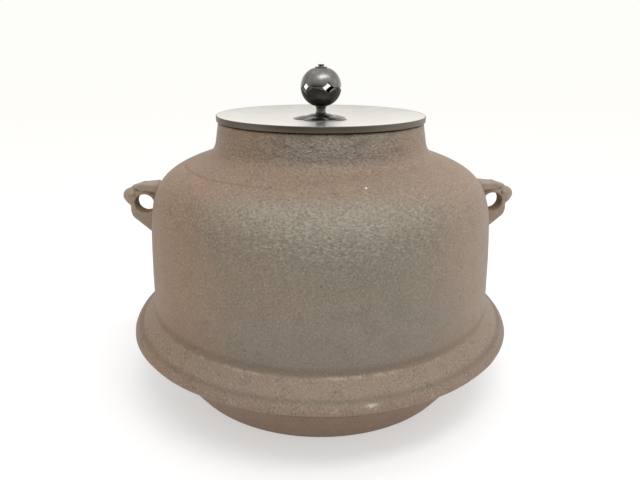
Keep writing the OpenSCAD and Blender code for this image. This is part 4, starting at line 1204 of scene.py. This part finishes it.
# %% Finial, rivet and washer
finial_low, finial_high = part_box("finial_washer")
FINIAL_R, FINIAL_ROUND, FINIAL_TURNS = finial_high.x, 0.4 * MM, 96
finial_line = np.vstack([
    [[BORE_R, finial_low.z], [FINIAL_R - FINIAL_ROUND, finial_low.z]],
    arc((FINIAL_R - FINIAL_ROUND, finial_low.z + FINIAL_ROUND), FINIAL_ROUND, -90, 0, steps=5),
    arc((FINIAL_R - FINIAL_ROUND, finial_high.z - FINIAL_ROUND), FINIAL_ROUND, 0, 90, steps=5),
    [[BORE_R, finial_high.z]]])
finial = spin("finial_disc", finial_line, FINIAL_TURNS, loop=True)
dress(finial, "lid", "knob_bronze", knob_bronze, "finial_washer")

rivet_low, rivet_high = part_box("knob_rivet")
SHANK_R, HEAD_R, HEAD_ROUND = 1.2 * MM, 2.0 * MM, 0.35 * MM
PEEN_R, PEEN_H, PEEN_LIFT = rivet_high.x, 1.2 * MM, 0.2 * MM
RIVET_TURNS = 64
peen_top = rivet_low.z + PEEN_H
rivet_line = np.vstack([
    [[0, rivet_low.z], [SHANK_R, rivet_low.z]],
    curve([(SHANK_R, rivet_low.z), (PEEN_R, rivet_low.z + PEEN_LIFT), (PEEN_R, peen_top)], steps=6)[1:],
    [[SHANK_R, peen_top], [SHANK_R, finial_high.z], [HEAD_R, finial_high.z]],
    arc((HEAD_R - HEAD_ROUND, rivet_high.z - HEAD_ROUND), HEAD_ROUND, 0, 90, steps=6),
    [[0, rivet_high.z]]])
rivet = spin("knob_rivet_pin", rivet_line, RIVET_TURNS)
dress(rivet, "lid", "knob_bronze", knob_bronze, "knob_rivet")

washer_low, washer_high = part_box("rivet_washer")
WASHER_R, WASHER_ROUND, WASHER_TURNS = washer_high.x, 0.3 * MM, 72
washer_line = np.vstack([
    [[BORE_R, washer_high.z], [WASHER_R - WASHER_ROUND, washer_high.z]],
    arc((WASHER_R - WASHER_ROUND, washer_low.z + WASHER_ROUND), WASHER_ROUND, 0, -90, steps=5),
    [[BORE_R, washer_low.z]]])
washer = spin("rivet_under_washer", washer_line, WASHER_TURNS, loop=True)
dress(washer, "lid", "lid_bronze", lid_bronze, "rivet_washer")

# %% [markdown]
# ## The studio
# The photograph is high-key: a white sweep, light from above and from both sides, and a dim room behind
# the camera that the bright metal mirrors. A ring of lamps could do it. A world whose light depends on
# the direction is simpler and softer, with one wide lamp overhead for the sheen on the shoulder. The
# camera sees plain white. Mirrors see the room, and everything else gets the soft light.

# %% Light of the room
SKY_WHITE = (0.985, 0.98, 0.955, 1)
FACING_BAND, BEHIND_BAND = (0.10, 0.85), (0.3, 0.8)
DIM_BAND, DARK_BAND = (0.45, 0.92), (0.10, 0.50)
SOFT_LEVEL, SOFT_DIM, SOFT_RIGHT = 0.93, 0.45, 0.32
ROOM_LEVEL, ROOM_DARK, ROOM_LEFT = 1.12, 1.02, 0.35
BACK_LEVEL, BACK_FALL, BACK_TOP = 0.50, 2.2, 0.35
PANE_SIDES, PANE_WIDTH = (-0.39, 0.68), 0.07
PANE_UP, PANE_HEIGHT, PANE_LEVEL = 0.84, 0.12, 2.0
scene = bpy.context.scene
scene.view_settings.view_transform = "Standard"
scene.world = bpy.data.worlds.new("studio")
sky = Tree(scene.world)
ray = sky.node("ShaderNodeLightPath").socket.node
seen = Wire(sky, ray.outputs["Is Camera Ray"])
mirrored = Wire(sky, ray.outputs["Is Glossy Ray"]).at_least(Wire(sky, ray.outputs["Is Transmission Ray"]))
heading = sky.node("ShaderNodeTexCoord", out="Generated")
towards = sky.node("ShaderNodeSeparateXYZ", None, {0: heading}).socket.node
towards_right = Wire(sky, towards.outputs["X"])
towards_front = 0 - Wire(sky, towards.outputs["Y"])
upwards = Wire(sky, towards.outputs["Z"])
facing = towards_front.rise(*FACING_BAND)
dim = facing * (1 - upwards.rise(*DIM_BAND))
dark_room = facing * (1 - upwards.rise(*DARK_BAND))
soft = SOFT_LEVEL - dim * SOFT_DIM + towards_right.at_least(0) * SOFT_RIGHT
behind = (0 - towards_front).rise(*BEHIND_BAND)
back_wall = behind * (BACK_LEVEL - BACK_FALL * upwards.at_least(0).at_most(BACK_TOP))
room = ROOM_LEVEL + back_wall - dark_room * ROOM_DARK - (0 - towards_right).at_least(0) * ROOM_LEFT
pane = sum(towards_right.bell(side, PANE_WIDTH) for side in PANE_SIDES)
room = room + pane * upwards.bell(PANE_UP, PANE_HEIGHT) * PANE_LEVEL
level = seen + (1 - seen) * (room * mirrored + soft * (1 - mirrored))
background = sky.tree.nodes["Background"]
sky.feed(background.inputs["Color"], SKY_WHITE)
sky.feed(background.inputs["Strength"], level)
print("room light: %d nodes" % len(sky.tree.nodes))

# %% Lamp and table
LAMP_WIDTH, LAMP_DEPTH, LAMP_WATTS = 0.80, 0.28, 4.0
LAMP_PLACE, LAMP_AIM = (0.15, -0.40, 1.10), (0, 0, 0.08)
TABLE_SIDE, TABLE_FRONT, TABLE_BACK = 3.0, 0.75, 5.0
PAPER_LOW, PAPER_HIGH, PAPER_FAR = (0.59, 0.59, 0.60, 1), (0.61, 0.61, 0.62, 1), (0.575, 0.57, 0.55, 1)
PAPER_FAR_BAND = (0.48, 0.75)
PAPER_ROUGHNESS, PAPER_GLOW, PAPER_SPECULAR = 0.9, 0.44, 0.1
lamp_data = bpy.data.lights.new("overhead", "AREA")
lamp_data.shape = "RECTANGLE"
lamp_data.size = LAMP_WIDTH
lamp_data.size_y = LAMP_DEPTH
lamp_data.energy = LAMP_WATTS
lamp = bpy.data.objects.new("overhead", lamp_data)
lamp.location = LAMP_PLACE
lamp.rotation_euler = (Vector(LAMP_AIM) - Vector(LAMP_PLACE)).to_track_quat("-Z", "Y").to_euler()
scene.collection.objects.link(lamp)
floor_mesh = bpy.data.meshes.new("floor")
floor_mesh.from_pydata([(-TABLE_SIDE, -TABLE_FRONT, 0), (TABLE_SIDE, -TABLE_FRONT, 0),
                        (TABLE_SIDE, TABLE_BACK, 0), (-TABLE_SIDE, TABLE_BACK, 0)], [], [(0, 1, 2, 3)])
floor = bpy.data.objects.new("floor", floor_mesh)
scene.collection.objects.link(floor)
paper = Finish("white_paper")
white = paper.blend(paper.grain(size=2 * MM, detail=2.0), PAPER_LOW, PAPER_HIGH)
paper.set(Base_Color=paper.blend(paper.radius.rise(*PAPER_FAR_BAND), white, PAPER_FAR),
          Roughness=PAPER_ROUGHNESS, Emission_Color=(1.0, 1.0, 1.0, 1), Emission_Strength=PAPER_GLOW,
          Specular_IOR_Level=PAPER_SPECULAR)
floor_mesh.materials.append(paper.owner)
print("studio: one lamp of %.1f W and a directional sky" % LAMP_WATTS)
